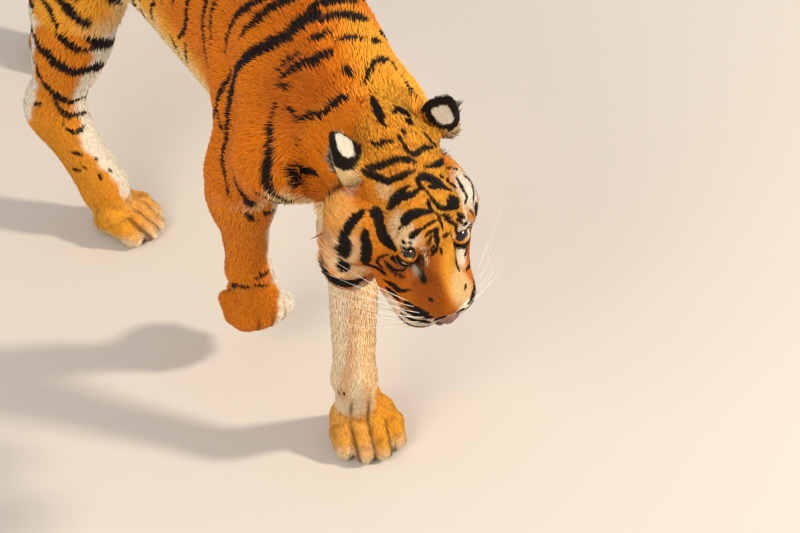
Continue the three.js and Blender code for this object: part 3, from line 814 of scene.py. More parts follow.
# Trunk: (distance behind the withers, angle) along each stripe, half width, then how soon it thins
NECK_STRIPES = [
    ([(-72, -2), (-73, -9), (-76, -23), (-56, -39), (-24, -61), (-5, -73), (9, -91), (10, -113),
      (-6, -123), (-31, -128), (-28, -137)], 8.0, 0.02, 0.8),
    ([(-84, -1), (-79, 6), (-78, 13), (-73, 23), (-66, 32)], 6.4, 0.3, 0.3),
    ([(-38, 26), (-52, 8), (-53, 1), (-60, -4)], 7.8),
    ([(-134, -2), (-137, -12), (-130, -21), (-124, -27), (-118, -39)], 6.6, 0.05, 0.6),
    ([(-112, -18), (-108, -28), (-107, -36)], 2.8), ([(-121, -43), (-133, -39), (-142, -34)], 4.2),
    ([(-217, -4), (-213, -15), (-214, -27), (-202, -37), (-189, -46), (-184, -50)], 6.4, 0.1, 0.4),
    ([(-213, -30), (-220, -42)], 5.4), ([(-158, -49), (-169, -47), (-182, -49)], 2.6),
    ([(-196, -62), (-202, -68)], 3.0),
    ([(-218, -86), (-232, -96), (-240, -104)], 8.0), ([(-216, -119), (-207, -132), (-200, -146)], 3.6),
    ([(-166, 1), (-187, 6)], 7.5, 0.3, 0.3), ([(-118, 4), (-117, 12), (-113, 23)], 2.8),
    ([(-103, -10), (-105, -4), (-103, 3)], 3.2),
    ([(-113, 30), (-89, 43)], 4.5), ([(-129, 48), (-143, 51)], 5.4),
    ([(-128, 46), (-148, 34), (-167, 24), (-186, 17), (-197, 12)], 4.4),
    ([(-198, 10), (-197, 18)], 5.4), ([(-178, 64), (-181, 72)], 4.4),
    ([(-70, 44), (-40, 66), (-20, 108), (-34, 130)], 5.5, 0.1, 0.5),
    ([(-150, 62), (-165, 78), (-186, 112)], 4.5),
    ([(-218, 86), (-224, 124)], 5.5),
]
# Shoulder and front of the flank on the right side; the left side is much like it
SIDE_STRIPES = [
    ([(-135, -51), (-154, -67), (-177, -82), (-185, -99), (-194, -116), (-194, -126)], 4.0, 0.5, 0.3),
    ([(-163, -108), (-177, -114), (-180, -124), (-170, -136), (-165, -150)], 4.2, 0.3, 0.3),
    ([(-79, -116), (-72, -123), (-61, -132), (-49, -141), (-39, -147)], 3.2, 0.4, 0.1),
    ([(4, -66), (16, -78), (32, -90), (39, -99), (42, -107), (32, -112), (20, -117)], 3.6),
    ([(42, -107), (53, -114), (60, -120)], 2.4),
    ([(-34, -4), (-27, -14), (-21, -29), (-8, -43)], 7.0, 0.2, 0.7),
    ([(-8, -4), (5, -24), (28, -37), (40, -48), (42, -54), (38, -61)], 7.4, 0.2, 0.7),
    ([(150, -6), (146, -30), (132, -48), (113, -71), (86, -87)], 5.0, 0.2, 0.5),
    ([(118, -10), (107, -43), (99, -56), (86, -68)], 3.8),
    ([(180, -6), (192, -34), (192, -60), (185, -73), (192, -82), (210, -92),
      (225, -99)], 5.2, 0.1, 0.3),
    ([(189, -93), (199, -106), (210, -116)], 3.4), ([(261, -104), (254, -111), (234, -118)], 3.2),
    ([(330, -4), (322, -40), (326, -88), (344, -98), (351, -111)], 5.4, 0.1, 0.3),
    ([(436, -10), (425, -50), (435, -112), (462, -129)], 5.4, 0.1, 0.3),
    ([(232, -10), (238, -50), (246, -78)], 5.0),
]


def flank_stripe(s, a, to_s, to_a, half, bow=0.0, parted=0.0):
    """One stripe, or two that part in the middle and meet at the ends."""
    t = np.linspace(0, 1, 6)[:, None]
    line = lerp(np.array([s, a], float), np.array([to_s, to_a], float), t)
    line[:, 0] += bow * np.sin(math.pi * t[:, 0])
    if not parted:
        return [(line, half, 0.25, 0.5)]
    swell = np.sin(math.pi * t[:, 0]) ** 0.8 * parted
    ahead, behind = line.copy(), line.copy()
    ahead[:, 0] -= swell
    behind[:, 0] += swell
    return [(ahead, half * 0.8, 0.2, 0.4), (behind, half * 0.8, 0.2, 0.4)]


# For the right side: start and end as (distance, angle), half width, bow, parting
RIGHT_FLANK = [
    (262, -2, 268, -40, 5, 6, 0), (286, -16, 292, -84, 5.5, 12, 8), (388, -50, 398, -106, 5, 8, 0),
    (398, -2, 404, -42, 5, 8, 0), (488, -3, 500, -44, 5.5, 4, 7),
    (516, -56, 530, -128, 6, 12, 0), (556, -4, 560, -84, 6, 18, 12), (604, -34, 600, -116, 6, 10, 0),
    (632, -3, 668, -62, 6, -4, 9), (690, -40, 660, -104, 6, -6, 10), (716, -4, 762, -52, 6, -6, 0),
    (742, -62, 700, -118, 6, -6, 9), (780, -6, 826, -50, 6, 0, 8), (800, -62, 764, -110, 6, -4, 0),
    (846, -14, 868, -60, 5, 0, 0), (846, -74, 822, -112, 5, 0, 0),
    (410, -118, 420, -142, 4, 0, 0), (330, -122, 336, -146, 4, 0, 0),
]
THIGH_STRIPES = [
    ([(589, -133), (578, -136), (568, -145), (560, -149)], 2.4, 0.3, 0.2),
    ([(668, -122), (644, -129), (618, -134), (593, -141)], 3.6, 0.2, 0.02),
    ([(646, -125), (629, -128), (606, -132)], 1.0),
    ([(730, -126), (704, -133), (670, -135), (650, -139)], 2.4, 0.2, 0.02),
    ([(800, -128), (756, -140), (700, -150)], 6.0), ([(880, -122), (850, -136), (800, -146)], 5.0),
]
TRUNK_STRIPES = list(NECK_STRIPES)
for number, (line, half, *ends) in enumerate(SIDE_STRIPES + THIGH_STRIPES):
    shift = (number * 29 % 17) - 8
    other_side = [(s + shift, -a + 0.4 * shift) for s, a in line]
    TRUNK_STRIPES += [(line, half, *ends), (other_side, half, *ends)]
for number, (s, a, to_s, to_a, half, bow, parted) in enumerate(RIGHT_FLANK):
    TRUNK_STRIPES += flank_stripe(s, a, to_s, to_a, half, bow, parted)
    shift = (number * 37 % 23) - 11  # the left flank is like the right one, and never quite the same
    other = 0 if number % 5 == 2 else (parted if number % 3 else 9)
    far_end = (to_s + shift + 6, -to_a + shift * 0.5)
    TRUNK_STRIPES += flank_stripe(s + shift, -a, *far_end, half, bow, other)

# Legs: (height, angle) along each stripe
HIND_STRIPES = [
    ([(446, 66), (439, 74), (415, 93), (404, 109), (394, 128), (388, 146)], 8.4, 0.02, 0.3),
    ([(446, 20), (434, 32), (422, 45), (412, 59), (407, 74), (404, 86)], 6.0, 0.02, 0.5),
    ([(398, -66), (404, -40), (404, -19), (395, -5), (392, 15), (380, 30), (361, 60), (359, 72),
      (361, 98), (346, 117), (340, 132)], 8.6, 0.5, 0.15),
    ([(352, -20), (347, -6), (333, 1), (311, 24), (298, 43), (284, 63), (275, 82), (276, 100),
      (270, 131)], 5.4, 0.3, 0.5),
    ([(293, 39), (274, 50), (258, 65), (246, 84), (242, 105), (231, 134)], 4.8, 0.4, 0.6),
    ([(231, 72), (218, 74), (211, 83), (212, 105), (216, 118)], 4.2),
    ([(368, -22), (378, -44), (384, -62)], 3.8),
    ([(354, -14), (360, -32)], 2.6), ([(261, -4), (267, 17)], 2.8), ([(148, 50), (144, 58)], 3.8),
    ([(156, 90), (156, 100)], 2.6),
    ([(133, 80), (122, 71)], 2.6), ([(131, 105), (131, 113)], 2.4), ([(174, 48), (169, 70)], 3.0),
    ([(137, 24), (142, 46)], 2.6),
    ([(320, 150), (306, 210)], 5.0), ([(380, 160), (362, 220)], 5.0), ([(300, -90), (282, -60)], 4.5),
    ([(424, -80), (414, -30)], 5.0),
]
LEG_STRIPES = dict(
    fore_right=[([(190, -12), (196, 8), (210, 25), (209, 40), (211, 65)], 3.8, 0.1, 0.2),
                ([(213, 76), (204, 94), (196, 113)], 2.6),
                ([(229, 80), (230, 105), (228, 128)], 3.4),
                ([(440, 58), (433, 65), (407, 75), (396, 90)], 3.0, 0.02, 0.4),
                ([(418, 96), (409, 107), (402, 124)], 4.2), ([(352, 150), (330, 190)], 4.5),
                ([(300, 160), (286, 200)], 4.0),
                ([(400, 150), (380, 190)], 4.5)],
    fore_left=[([(400, 150), (384, 196)], 5.0), ([(350, 160), (334, 205)], 4.5),
               ([(147, 160), (145, 167)], 3.2), ([(152, 146), (150, 152)], 3.0),
               ([(300, -60), (290, -10)], 4.0),
               ([(236, -40), (230, 6)], 3.5)],
    hind_right=HIND_STRIPES,
    hind_left=[([(z + 6 * math.cos(0.9 * i), angle - 5) for z, angle in line], half, *ends)
               for i, (line, half, *ends) in enumerate(HIND_STRIPES)],
)
# Legs: heights, and the angles where the pale hair begins at the inner side and at the back
HIND_PALE = ((100, 150, 190, 230, 300, 400), (100, 88, 80, 108, 79, 84), (-80, -80, -70, 10, -8, -13))
LEG_PALE = dict(
    fore_right=((100, 130, 165, 230, 290, 360), (95, 118, 137, 130, 128, 118),
                (-110, -110, -110, -110, -110, -110)),
    fore_left=((20, 60, 150, 330), (120, 70, 36, 30), (-110, -110, -110, -110)),
    hind_right=HIND_PALE, hind_left=HIND_PALE,
)
TAIL_RINGS = [0.10, 0.17, 0.235, 0.31, 0.375, 0.45, 0.52, 0.595, 0.665, 0.735, 0.80, 0.865, 0.925]

# Head: lines in head places, half width, then how soon they thin
HEAD_STRIPES = [
    ([(-60, 42, 97), (-53, 31, 107), (-40, 30, 115), (-27, 25, 120)], 3.2),
    ([(-75, 3, 93), (-66, -3, 103), (-53, -4, 111), (-34, -4, 120), (-14, -12, 125), (-5, -19, 125)],
     4.2, 0.2, 0.2),
    ([(-81, 3, 82), (-78, -7, 90), (-61, -29, 105), (-44, -30, 115), (-22, -29, 122), (-12, -29, 124)],
     5.0, 0.2, 0.3),
    ([(-69, -64, 94), (-60, -62, 102), (-49, -58, 109), (-38, -61, 114), (-24, -60, 118),
      (-11, -58, 120)], 6.4, 0.04, 0.5),
    ([(-67, -59, 97), (-55, -55, 106), (-42, -51, 113), (-31, -48, 117)], 4.2, 0.1, 0.5),
    ([(-18, -44, 121), (-1, -42, 122), (10, -48, 122), (23, -58, 118), (34, -67, 116), (46, -75, 114)],
     6.0, 0.2, 0.4),
    ([(0, -59, 120), (12, -63, 119), (26, -68, 117)], 3.0), ([(31, -48, 117), (42, -55, 113)], 2.2),
    ([(-12, -42, 122), (-14, -51, 121), (-10, -58, 120), (-6, -62, 119)], 3.4, 0.05, 0.4),
    ([(48, -58, 110), (62, -61, 99), (77, -64, 88)], 6.0), ([(75, -67, 88), (80, -74, 86)], 2.2),
    ([(28, -92, 118), (43, -95, 115)], 10.0, 0.05, 0.05),
    ([(42, -104, 112), (24, -101, 115), (10, -97, 115), (5, -88, 116), (1, -79, 117), (-6, -62, 119)],
     3.4, 0.05, 0.4),
    ([(-7, -75, 118), (-8, -86, 116), (-7, -94, 115), (-3, -100, 114)], 3.0, 0.4, 0.1),
    ([(-62, -99, 106), (-52, -93, 112), (-40, -91, 116), (-26, -93, 116), (-11, -97, 114),
      (-3, -99, 114)], 7.8, 0.04, 0.7),
    ([(-62, -100, 104), (-69, -106, 93)], 1.6, 0.05, 0.9),
    ([(-54, -124, 102), (-45, -121, 105), (-34, -119, 107)], 5.6, 0.05, 0.4),
    ([(-32, -119, 107), (-19, -116, 109), (-4, -113, 110)], 1.8, 0.1, 0.3),
    ([(1, -103, 113), (4, -113, 110), (6, -122, 107), (7, -132, 103)], 1.8),
    ([(8, -108, 111), (22, -112, 110)], 1.5), ([(13, -117, 108), (28, -117, 108)], 1.5),
    ([(38, -114, 109), (45, -119, 105), (53, -122, 99)], 4.0),
    ([(36, -122, 105), (44, -126, 100), (50, -132, 94)], 1.8),
    ([(18, -120, 106), (28, -126, 102), (35, -132, 98), (38, -140, 91), (46, -149, 80), (44, -156, 72)],
     2.3, 0.1, 0.1),
    ([(23, -136, 98), (27, -146, 91), (34, -158, 77), (34, -167, 73)], 1.4),
    ([(4, -140, 100), (20, -139, 98)], 2.8),
    ([(-28, -133, 98), (-23, -128, 102), (-13, -126, 105), (-3, -123, 107)], 1.9),
    ([(-24, -148, 91), (-20, -139, 96), (-17, -133, 100)], 2.1),
    ([(-4, -124, 106), (-8, -133, 103), (-9, -143, 99), (-9, -151, 96)], 3.5, 0.1, 0.3),
    ([(-9, -151, 96), (-14, -157, 91), (-21, -162, 85)], 2.0),
    ([(-22, -155, 89), (-15, -149, 94)], 1.8),
    ([(-6, -156, 95), (-4, -165, 91)], 1.6),
    ([(-14, 1, 125), (-2, -5, 125), (13, -2, 125), (28, -2, 122), (44, -5, 117)], 4.2, 0.1, 0.4),
    ([(37, 24, 117), (40, 11, 118), (49, 0, 115), (55, -4, 111)], 3.2, 0.5, 0.2),
    ([(6, -29, 124), (24, -31, 121), (47, -30, 113), (70, -29, 98), (88, -24, 82)], 4.2, 0.3, 0.2),
    ([(86, -30, 80), (100, -33, 70)], 1.6), ([(100, -38, 72), (108, -42, 64)], 2.4),
    ([(-15, 33, 121), (-15, 20, 123), (-14, 7, 125), (-14, 1, 125)], 3.0, 0.2, 0.1),
    ([(-1, 40, 120), (-5, 28, 122)], 2.6), ([(18, 56, 112), (22, 40, 116)], 6.5, 0.2, 0.3),
    ([(-2, 109, 71), (-10, 88, 81), (-23, 65, 103), (-25, 54, 110)], 7.0, 0.2, 0.4),
    ([(3, 71, 102), (20, 77, 94)], 3.4),
    ([(22, 82, 90), (30, 57, 107)], 8.0, 0.2, 0.2),
    ([(-107, 42, -42), (-105, 25, -58), (-98, 9, -70)], 9.0, 0.1, 0.3),
    ([(-110, 36, -49), (-92, 10, -42)], 8.0, 0.1, 0.2),
    # cheek of the left side, which is paler than the right
    ([(93, -51, 80), (90, -65, 83), (90, -77, 83), (92, -88, 79), (89, -96, 78), (83, -101, 79)], 2.0),
    ([(113, -54, 72), (121, -62, 68), (125, -72, 63), (118, -84, 67), (109, -95, 70), (101, -106, 70)],
     2.8),
    ([(88, -112, 74), (96, -119, 65), (99, -125, 60)], 1.2),
    ([(69, -127, 91), (84, -133, 66)], 3.4, 0.1, 0.2),
    # cheek of the right side
    ([(-82, -56, 85), (-82, -72, 85), (-85, -88, 82), (-84, -106, 77), (-79, -122, 75),
      (-74, -137, 73)], 7.8, 0.1, 0.3),
    ([(-90, -60, 82), (-84, -68, 85)], 8.0, 0.2, 0.2),
    ([(-98, -54, 79), (-118, -63, 70), (-130, -76, 57), (-133, -90, 45), (-130, -106, 37)], 6.6, 0.2,
     0.1),
    ([(-109, -86, 73), (-111, -100, 65), (-108, -111, 62)], 6.0, 0.3, 0.05),
]
PAIRED_STRIPES = [
    ([(133, -92, 45), (130, -106, 37), (126, -115, 11)], 8.6, 0.1, 0.2),
    ([(107, -122, -6), (110, -132, -30)], 7.4, 0.1, 0.2),
    ([(109, -106, 63), (110, -123, 51), (107, -136, 32)], 7.4, 0.1, 0.2),
    ([(107, -136, 30), (97, -145, 33), (92, -153, 40), (85, -164, 42)], 3.4, 0.05, 0.4),
    ([(124, -118, -61), (117, -135, -61), (107, -147, -50), (94, -153, -37), (78, -154, -26)], 8.6, 0.1,
     0.4),
    ([(81, -135, 65), (94, -136, 56), (95, -143, 47), (89, -152, 47)], 2.0),
    ([(79, -141, 64), (68, -151, 66), (57, -159, 64)], 3.4, 0.1, 0.4),
    ([(88, -142, 57), (82, -152, 54), (75, -162, 55), (65, -166, 58), (51, -164, 62)], 2.9),
    ([(83, -157, 51), (72, -170, 53), (60, -178, 55)], 2.4),
    ([(87, -169, 31), (79, -183, 39), (72, -193, 42), (56, -198, 51)], 2.9),
    ([(82, -180, 24), (79, -195, 30), (74, -207, 34)], 3.6),
    ([(72, -128, 82), (65, -135, 87), (55, -137, 89), (45, -145, 83)], 3.4),
    ([(69, -121, 90), (63, -129, 94)], 2.3),
    ([(58, -129, 97), (52, -133, 94)], 1.8),
    ([(38, -155, 77), (36, -163, 74), (36, -173, 68), (36, -186, 64)], 4.6, 0.05, 0.5),
    ([(70, -212, 39), (62, -225, 45), (54, -234, 49), (41, -243, 49)], 3.4, 0.1, 0.4),
    ([(74, -217, 30), (65, -231, 38), (53, -242, 44), (35, -250, 45)], 2.4, 0.2, 0.2),
    ([(72, -227, 23), (62, -242, 31), (48, -251, 37), (34, -257, 35)], 2.0, 0.2, 0.2),
    ([(68, -230, 12), (54, -248, 18), (36, -258, 22)], 1.9, 0.2, 0.2),
    ([(37, -221, 59), (32, -228, 60)], 1.8),
    ([(30, -258, 40), (24, -262, 45), (10, -262, 47)], 1.8, 0.1, 0.1),
    ([(118, -30, 20), (124, -26, -14)], 5.9), ([(76, 30, 82), (96, 10, 50), (106, 2, 20)], 5.4),
]
MIDLINE = [(-6, -59, 120), (-2, -74, 118), (-2, -92, 115), (-2, -108, 112), (0, -121, 107),
           (1, -129, 104)]


UNDER_LID = [(70, -148, 68), (52, -163, 63), (42, -170, 64)]
BROW_EDGE = [(56, -127, 100), (42, -138, 95), (30, -149, 88)]
TEAR_LINE = [(44, -160, 70), (38, -176, 66), (35, -192, 61)]


def near_line(h, line, half):
    """More than 0 within that many mm of the line."""
    return half - line_distance(h, curve_through(np.array(line, float), 5))[0]


def soft_spot(h, centre, radii, edge=0.35):
    reach = np.linalg.norm((h - np.array(centre, float)) / np.array(radii, float), axis=1)
    return 1 - smooth(1 - edge, 1 + edge, reach)


def mixed(base, colour, share):
    return lerp(base, colour, np.clip(share, 0, 1)[..., None])


def head_colour(p):
    h = to_head(p)
    folded = mirrored(h)
    wave = ripple(p, 7)
    right = smooth(10, -10, h[:, 0])
    crown = smooth(60, 96, h[:, 2] + 0.12 * np.abs(h[:, 0]))
    # The crown is gold; the extra gold on its left side and the orange on its right are painted light
    # and painted shade, and so is the gold at the back of the head on the left.
    colour = mixed(np.tile(ORANGE, (len(p), 1)), GOLD, (0.62 + 0.3 * smooth(-40, 30, h[:, 0])) * crown)
    colour = mixed(colour, GOLD, 0.9 * smooth(40, 80, h[:, 1]) * smooth(-30, 20, h[:, 0]))
    colour = mixed(colour, DEEP_ORANGE, 0.55 * np.maximum(ripple(p, 4), 0) * crown)
    bridge = smooth(-130, -165, h[:, 1]) * smooth(30, 52, h[:, 2] + 2 * wave)
    # Deep orange along the top of the muzzle; its extra strength on the right side is painted shade.
    colour = mixed(colour, DEEP_ORANGE * (1.0, 1.15, 1.6),
                   bridge * (0.3 + 0.65 * smooth(6, -22, h[:, 0])))
    colour = mixed(colour, GOLD, 0.9 * soft_spot(h, (18, -196, 72), (26, 60, 26)) * bridge)
    colour = mixed(colour, CREAM, 0.8 * soft_spot(h, (26, -222, 62), (26, 36, 24)) * bridge)
    colour = mixed(colour, GOLD * (1.0, 1.05, 3.0),
                   0.9 * soft_spot(folded, (122, -48, 34), (26, 44, 50)))
    colour = mixed(colour, DEEP_ORANGE, 0.5 * soft_spot(folded, (72, -158, 50), (26, 30, 26)))
    line = near_line(h, MIDLINE, 2.6)
    colour = mixed(colour, DEEP_ORANGE * 0.45, smooth(-0.8, 0.8, line))
    beige = np.maximum.reduce([
        soft_spot(h, (-65, -110, 98), (20, 34, 22)), soft_spot(h, (-44, -132, 94), (16, 14, 12)) * 0.9,
        soft_spot(h, (-30, -164, 78), (6, 14, 8)), soft_spot(h, (-72, -40, 94), (22, 16, 16)) * 0.8,
        soft_spot(folded, (122, -106, 10), (18, 26, 54)) * 0.85,
        soft_spot(folded, (98, -126, -22), (30, 26, 30)) * 0.9,
        0.7 * smooth(10, -20, h[:, 2]) * smooth(-160, -130, h[:, 1]) * smooth(-50, -85, h[:, 1]),
    ])
    colour = mixed(colour, CREAM * (1.0, 1.06, 1.25), beige * (0.8 + 0.35 * wave))
    lip_line = 30 - 0.35 * (h[:, 1] + 214)
    low = smooth(0, -20, h[:, 2] + 46 + 0.3 * (h[:, 1] + 95) + 5 * wave)
    throat = low * smooth(96, 76, np.abs(h[:, 0])) * smooth(-20, -50, h[:, 1])
    lip = smooth(4, -4, h[:, 2] - lip_line + 2 * wave) * smooth(-176, -200, h[:, 1])
    white = np.maximum.reduce([
        soft_spot(h, (70, -100, 92), (22, 32, 22)), soft_spot(h, (58, -138, 86), (16, 16, 16)),
        soft_spot(h, (52, -168, 58), (14, 26, 16)) * 0.9, soft_spot(h, (104, -78, 74), (26, 40, 26)),
        soft_spot(h, (30, -252, 40), (26, 14, 14)),
        soft_spot(h, (-52, -161, 64), (16, 9, 5)), lip, throat,
        soft_spot(h, (-96, -8, 60), (16, 22, 20)) * 0.6,
    ])
    lines = np.maximum(near_line(folded, UNDER_LID, 5.0), near_line(folded, BROW_EDGE, 6.5))
    white = np.maximum(white, 0.9 * smooth(-1, 1.5, lines + wave))
    # The white marks are a quarter weaker on the right side: painted shade.
    colour = mixed(colour, WHITE, white * (1 - 0.25 * right))
    # A dark patch on the right side of the muzzle: painted shade.
    colour = mixed(colour, DEEP_ORANGE * 0.5, 0.6 * soft_spot(h, (-30, -205, 52), (26, 44, 26)))
    black = stripes_on(h, HEAD_STRIPES, on_head_skin)
    black = np.maximum(black, stripes_on(folded, PAIRED_STRIPES, on_head_skin))
    lips = 2.2 - line_distance(folded, MOUTH)[0]
    gap = lid_gap(folded - EYE)[0]
    lids = np.where((from_eye(p) < 30) & (gap < 20), 4.6 - gap, -99)
    tear = near_line(folded, TEAR_LINE, 6.0)
    black = np.maximum.reduce([black + 1.4 + 0.9 * wave, lips, lids, tear + wave])
    return mixed(colour, BLACK, smooth(-0.8, 0.8, black))


def in_millimetres(table, scale):
    """Stripes given by millimetres and degrees, with the degrees turned into millimetres."""
    return [(np.array(line, float) * (1, scale), half, *ends) for line, half, *ends in table]


def trunk_colour(p):
    s, a = around_trunk(p)
    wave = ripple(p, 30)
    ahead = smooth(-60, -120, s)
    colour = mixed(np.tile(ORANGE, (len(p), 1)), DEEP_ORANGE,
                   0.5 * smooth(40, 8, np.abs(a)) * (1 - ahead))
    # Painted shade and painted light on the neck: its right side is deeper orange and its left side
    # gold.
    colour = mixed(colour, DEEP_ORANGE, 0.7 * ahead * smooth(-2, -14, a) * smooth(-80, -50, a))
    colour = mixed(colour, GOLD, 0.75 * smooth(-4, 22, a) * smooth(-30, -90, s))
    colour = mixed(colour, GOLD, 0.35 * smooth(230, 300, s) * smooth(30, 60, np.abs(a)))
    low_side = smooth(84, 104, np.abs(a)) * 0.8 * smooth(60, 160, s)
    colour = mixed(colour, GOLD, low_side + 0.5 * smooth(-190, -230, s))
    arm = 40 * smooth(100, 60, s) * smooth(-190, -140, s)  # the upper arm stays orange further down
    edge = 109 + arm + 40 * smooth(530, 580, s)
    colour = mixed(colour, CREAM, smooth(-9, 9, np.abs(a) - edge + 5 * wave))
    plane = np.stack([s, a * TRUNK_SCALE], 1)
    table = in_millimetres(TRUNK_STRIPES, TRUNK_SCALE)
    black = stripes_on(plane, table) + 1.8 + 1.2 * ripple(p, 12)
    return mixed(colour, BLACK, smooth(-1.5, 1.5, black))


def leg_colour(p, name):
    angle = around_leg(name, p)[2]
    wave = ripple(p, 14)
    z = p[:, 2]
    golden = 0.15 if name == "fore_right" else 0.25 + 0.45 * smooth(330, 160, z)
    colour = mixed(np.tile(ORANGE, (len(p), 1)), GOLD, golden)
    heights, inner, behind = LEG_PALE[name]
    edge = np.minimum(np.interp(z, heights, inner) - angle, angle - np.interp(z, heights, behind))
    pale = WHITE if name != "fore_left" else lerp(CREAM, WHITE, 0.45)
    colour = mixed(colour, pale, smooth(8, -10, edge + 7 * wave))
    if name == "fore_left":
        band = np.abs(angle - np.interp(z, (140, 170, 204, 274, 340), (157, 143, 131, 121, 119)))
        colour = mixed(colour, LIGHT_BROWN, 0.5 * smooth(30, 4, band + 8 * wave) * smooth(110, 140, z))
        colour = mixed(colour, GOLD, 0.35 * smooth(110, 90, angle) * smooth(30, 50, angle))
    if name != "fore_right":
        colour = mixed(colour, GOLD, 0.9 * smooth(88, 62, z + 6 * wave))
        colour = mixed(colour, LIGHT_BROWN * 0.8,
                       0.7 * smooth(88, 62, z) * smooth(0.0, 0.8, ripple(p, 9)))
        colour = mixed(colour, lerp(CREAM, WHITE, 0.5), 0.9 * smooth(38, 14, z + 4 * wave))
    # Painted shade in the creases between the toes.
    colour = mixed(colour, LIGHT_BROWN * 0.25, 0.85 * toe_crease(name, p) * smooth(150, 100, z))
    scale = FORE_SCALE if name.startswith("fore") else HIND_SCALE
    table = in_millimetres(LEG_STRIPES[name], scale)
    plane = np.stack([z, angle * scale], 1)
    black = np.maximum(stripes_on(plane, table), stripes_on(plane + (0, 360 * scale), table)) + 1.2
    return mixed(colour, BLACK, smooth(-1.2, 1.2, black + 1.0 * wave))


def tail_colour(p):
    _, share, angle = along_tail(p)
    wave = ripple(p, 16)
    colour = mixed(np.tile(ORANGE, (len(p), 1)), CREAM, smooth(100, 140, np.abs(angle) + 10 * wave))
    colour = mixed(colour, WHITE, 0.7 * smooth(0.3, 0.8, share))
    black = np.full(len(p), -1.0)
    for number, ring in enumerate(TAIL_RINGS):
        half = 0.012 + 0.006 * ring + 0.003 * (number % 2)
        black = np.maximum(black, half - np.abs(share - ring - 0.004 * np.cos(np.radians(angle))))
    black = np.maximum(black, (share - 0.972) * 1.0)
    return mixed(colour, BLACK, smooth(-0.0025, 0.0025, black + 0.0022 * wave))


def coat_colour(p, part):
    colour = np.zeros((len(p), 3))
    for number, paint in ((TRUNK_PART, trunk_colour), (HEAD_PART, head_colour),
                          (TAIL_PART, tail_colour)):
        chosen = part == number
        colour[chosen] = paint(p[chosen])
    for i, name in enumerate(LEG_NAMES):
        chosen = part == FIRST_LEG + i
        colour[chosen] = leg_colour(p[chosen], name)
    return colour


# ---------------------------------------------------------------- lie of the coat


def combed(p, part):
    """The way the hair lies, before it is laid on the skin."""
    _, _, heading = along_spine(p)
    s, a = around_trunk(p)
    back = np.stack([-np.sin(heading), np.cos(heading), np.zeros(len(p))], 1)
    lie = back + np.array([0, 0, -1.0]) * (0.55 * np.abs(np.sin(np.radians(a))))[:, None]
    lie[:, 2] -= 0.9 * smooth(560, 480, p[:, 2])
    lie[:, 2] -= 1.6 * smooth(-60, -190, s) * smooth(30, 110, np.abs(a))
    for i, name in enumerate(LEG_NAMES):
        chosen = part == FIRST_LEG + i
        axis = leg_axis(name)
        share = line_distance(p[chosen], axis)[1]
        runs = runs_along(axis)
        step = np.clip(np.searchsorted(runs / runs[-1], share) - 1, 0, len(axis) - 2)
        down = unit(np.diff(axis, axis=0))[step]
        paw = smooth(80, 30, p[chosen][:, 2])[:, None]
        ahead = turn("Z", -PAW_HEADING.get(name, 0)) @ np.array([0, -1.0, -0.5])
        lie[chosen] = lerp(down + (0, 0.15, 0), ahead, paw)
    tail = part == TAIL_PART
    share = along_tail(p[tail])[1]
    step = np.clip(np.searchsorted(TAIL_RUN, share) - 1, 0, len(TAIL_CURVE) - 2)
    lie[tail] = unit(np.diff(TAIL_CURVE, axis=0))[step]
    h = to_head(p)
    from_nose = h - (0, -262, 34)
    from_nose[:, 2] -= 40 * smooth(-150, -60, h[:, 1]) * smooth(60, -40, h[:, 2])
    from_nose[:, 0] *= 1.25
    on_face_lie = unit(from_nose) @ HEAD_SPIN.T
    share = smooth(0.05, 0.6, head_share(p))[:, None]
    return unit(lerp(unit(lie), on_face_lie, share))


def hair_length(p, part):
    s, a = around_trunk(p)
    h = to_head(p)
    side = np.abs(h[:, 0])
    length = np.full(len(p), 15.0)
    length += 6 * smooth(-60, -180, s)
    length += 14 * smooth(130, 160, np.abs(a)) * smooth(560, 480, p[:, 2])
    legs = part >= FIRST_LEG
    length = np.where(legs, lerp(8, 15, smooth(80, 380, p[:, 2])), length)
    length = np.where(part == TAIL_PART, 20, length)
    face = 5.0 + 5 * smooth(-80, 30, h[:, 1])
    face += 22 * smooth(62, 108, side) * smooth(-150, -80, h[:, 1]) * smooth(70, 10, h[:, 2])
    face += 18 * smooth(-20, -60, h[:, 2]) * smooth(-180, -110, h[:, 1])
    face = lerp(face, 4.2, smooth(-150, -180, h[:, 1]))
    face += 12 * smooth(-30, -56, h[:, 2]) * smooth(-190, -225, h[:, 1])  # beard of the chin
    face *= lerp(0.5, 1, smooth(22, 38, from_eye(p)))
    return lerp(length, face, smooth(0.3, 0.7, head_share(p)))


def tufts_for_area(p, part):
    """Tufts on a square centimetre."""
    many = np.full(len(p), 12.4)
    many = np.where(part >= FIRST_LEG, lerp(27, 13, smooth(60, 300, p[:, 2])), many)
    h = to_head(p)
    face = lerp(42, 23, smooth(-70, 30, h[:, 1]))
    face = lerp(face, 50, smooth(-150, -215, h[:, 1]))
    return lerp(many, face, smooth(0.3, 0.7, head_share(p)))


# ---------------------------------------------------------------- tufts

PATCH = 0.003  # side of each tuft's place in the flat map
# Painted shade: the skin and the ear shells are darker under the tufts.
SKIN_SHADE, EAR_SHADE = 0.75, 0.8  # brightness under the tufts
TUFT_SLIMNESS, TUFT_LEAST, TUFT_MOST = 0.072, 0.55, 1.2  # half width for its length, and its limits
DARK_HAIRS, DARK_HAIR_SHADE = 0.13, 0.3  # share of the forehead's tufts, and their brightness
# Root, middle and tip: brightness and how much it varies; the darker roots are painted shade deep in
# the coat
SHADES = ((0.50, 0.34), (0.98, 0.30), (1.18, 0.30))


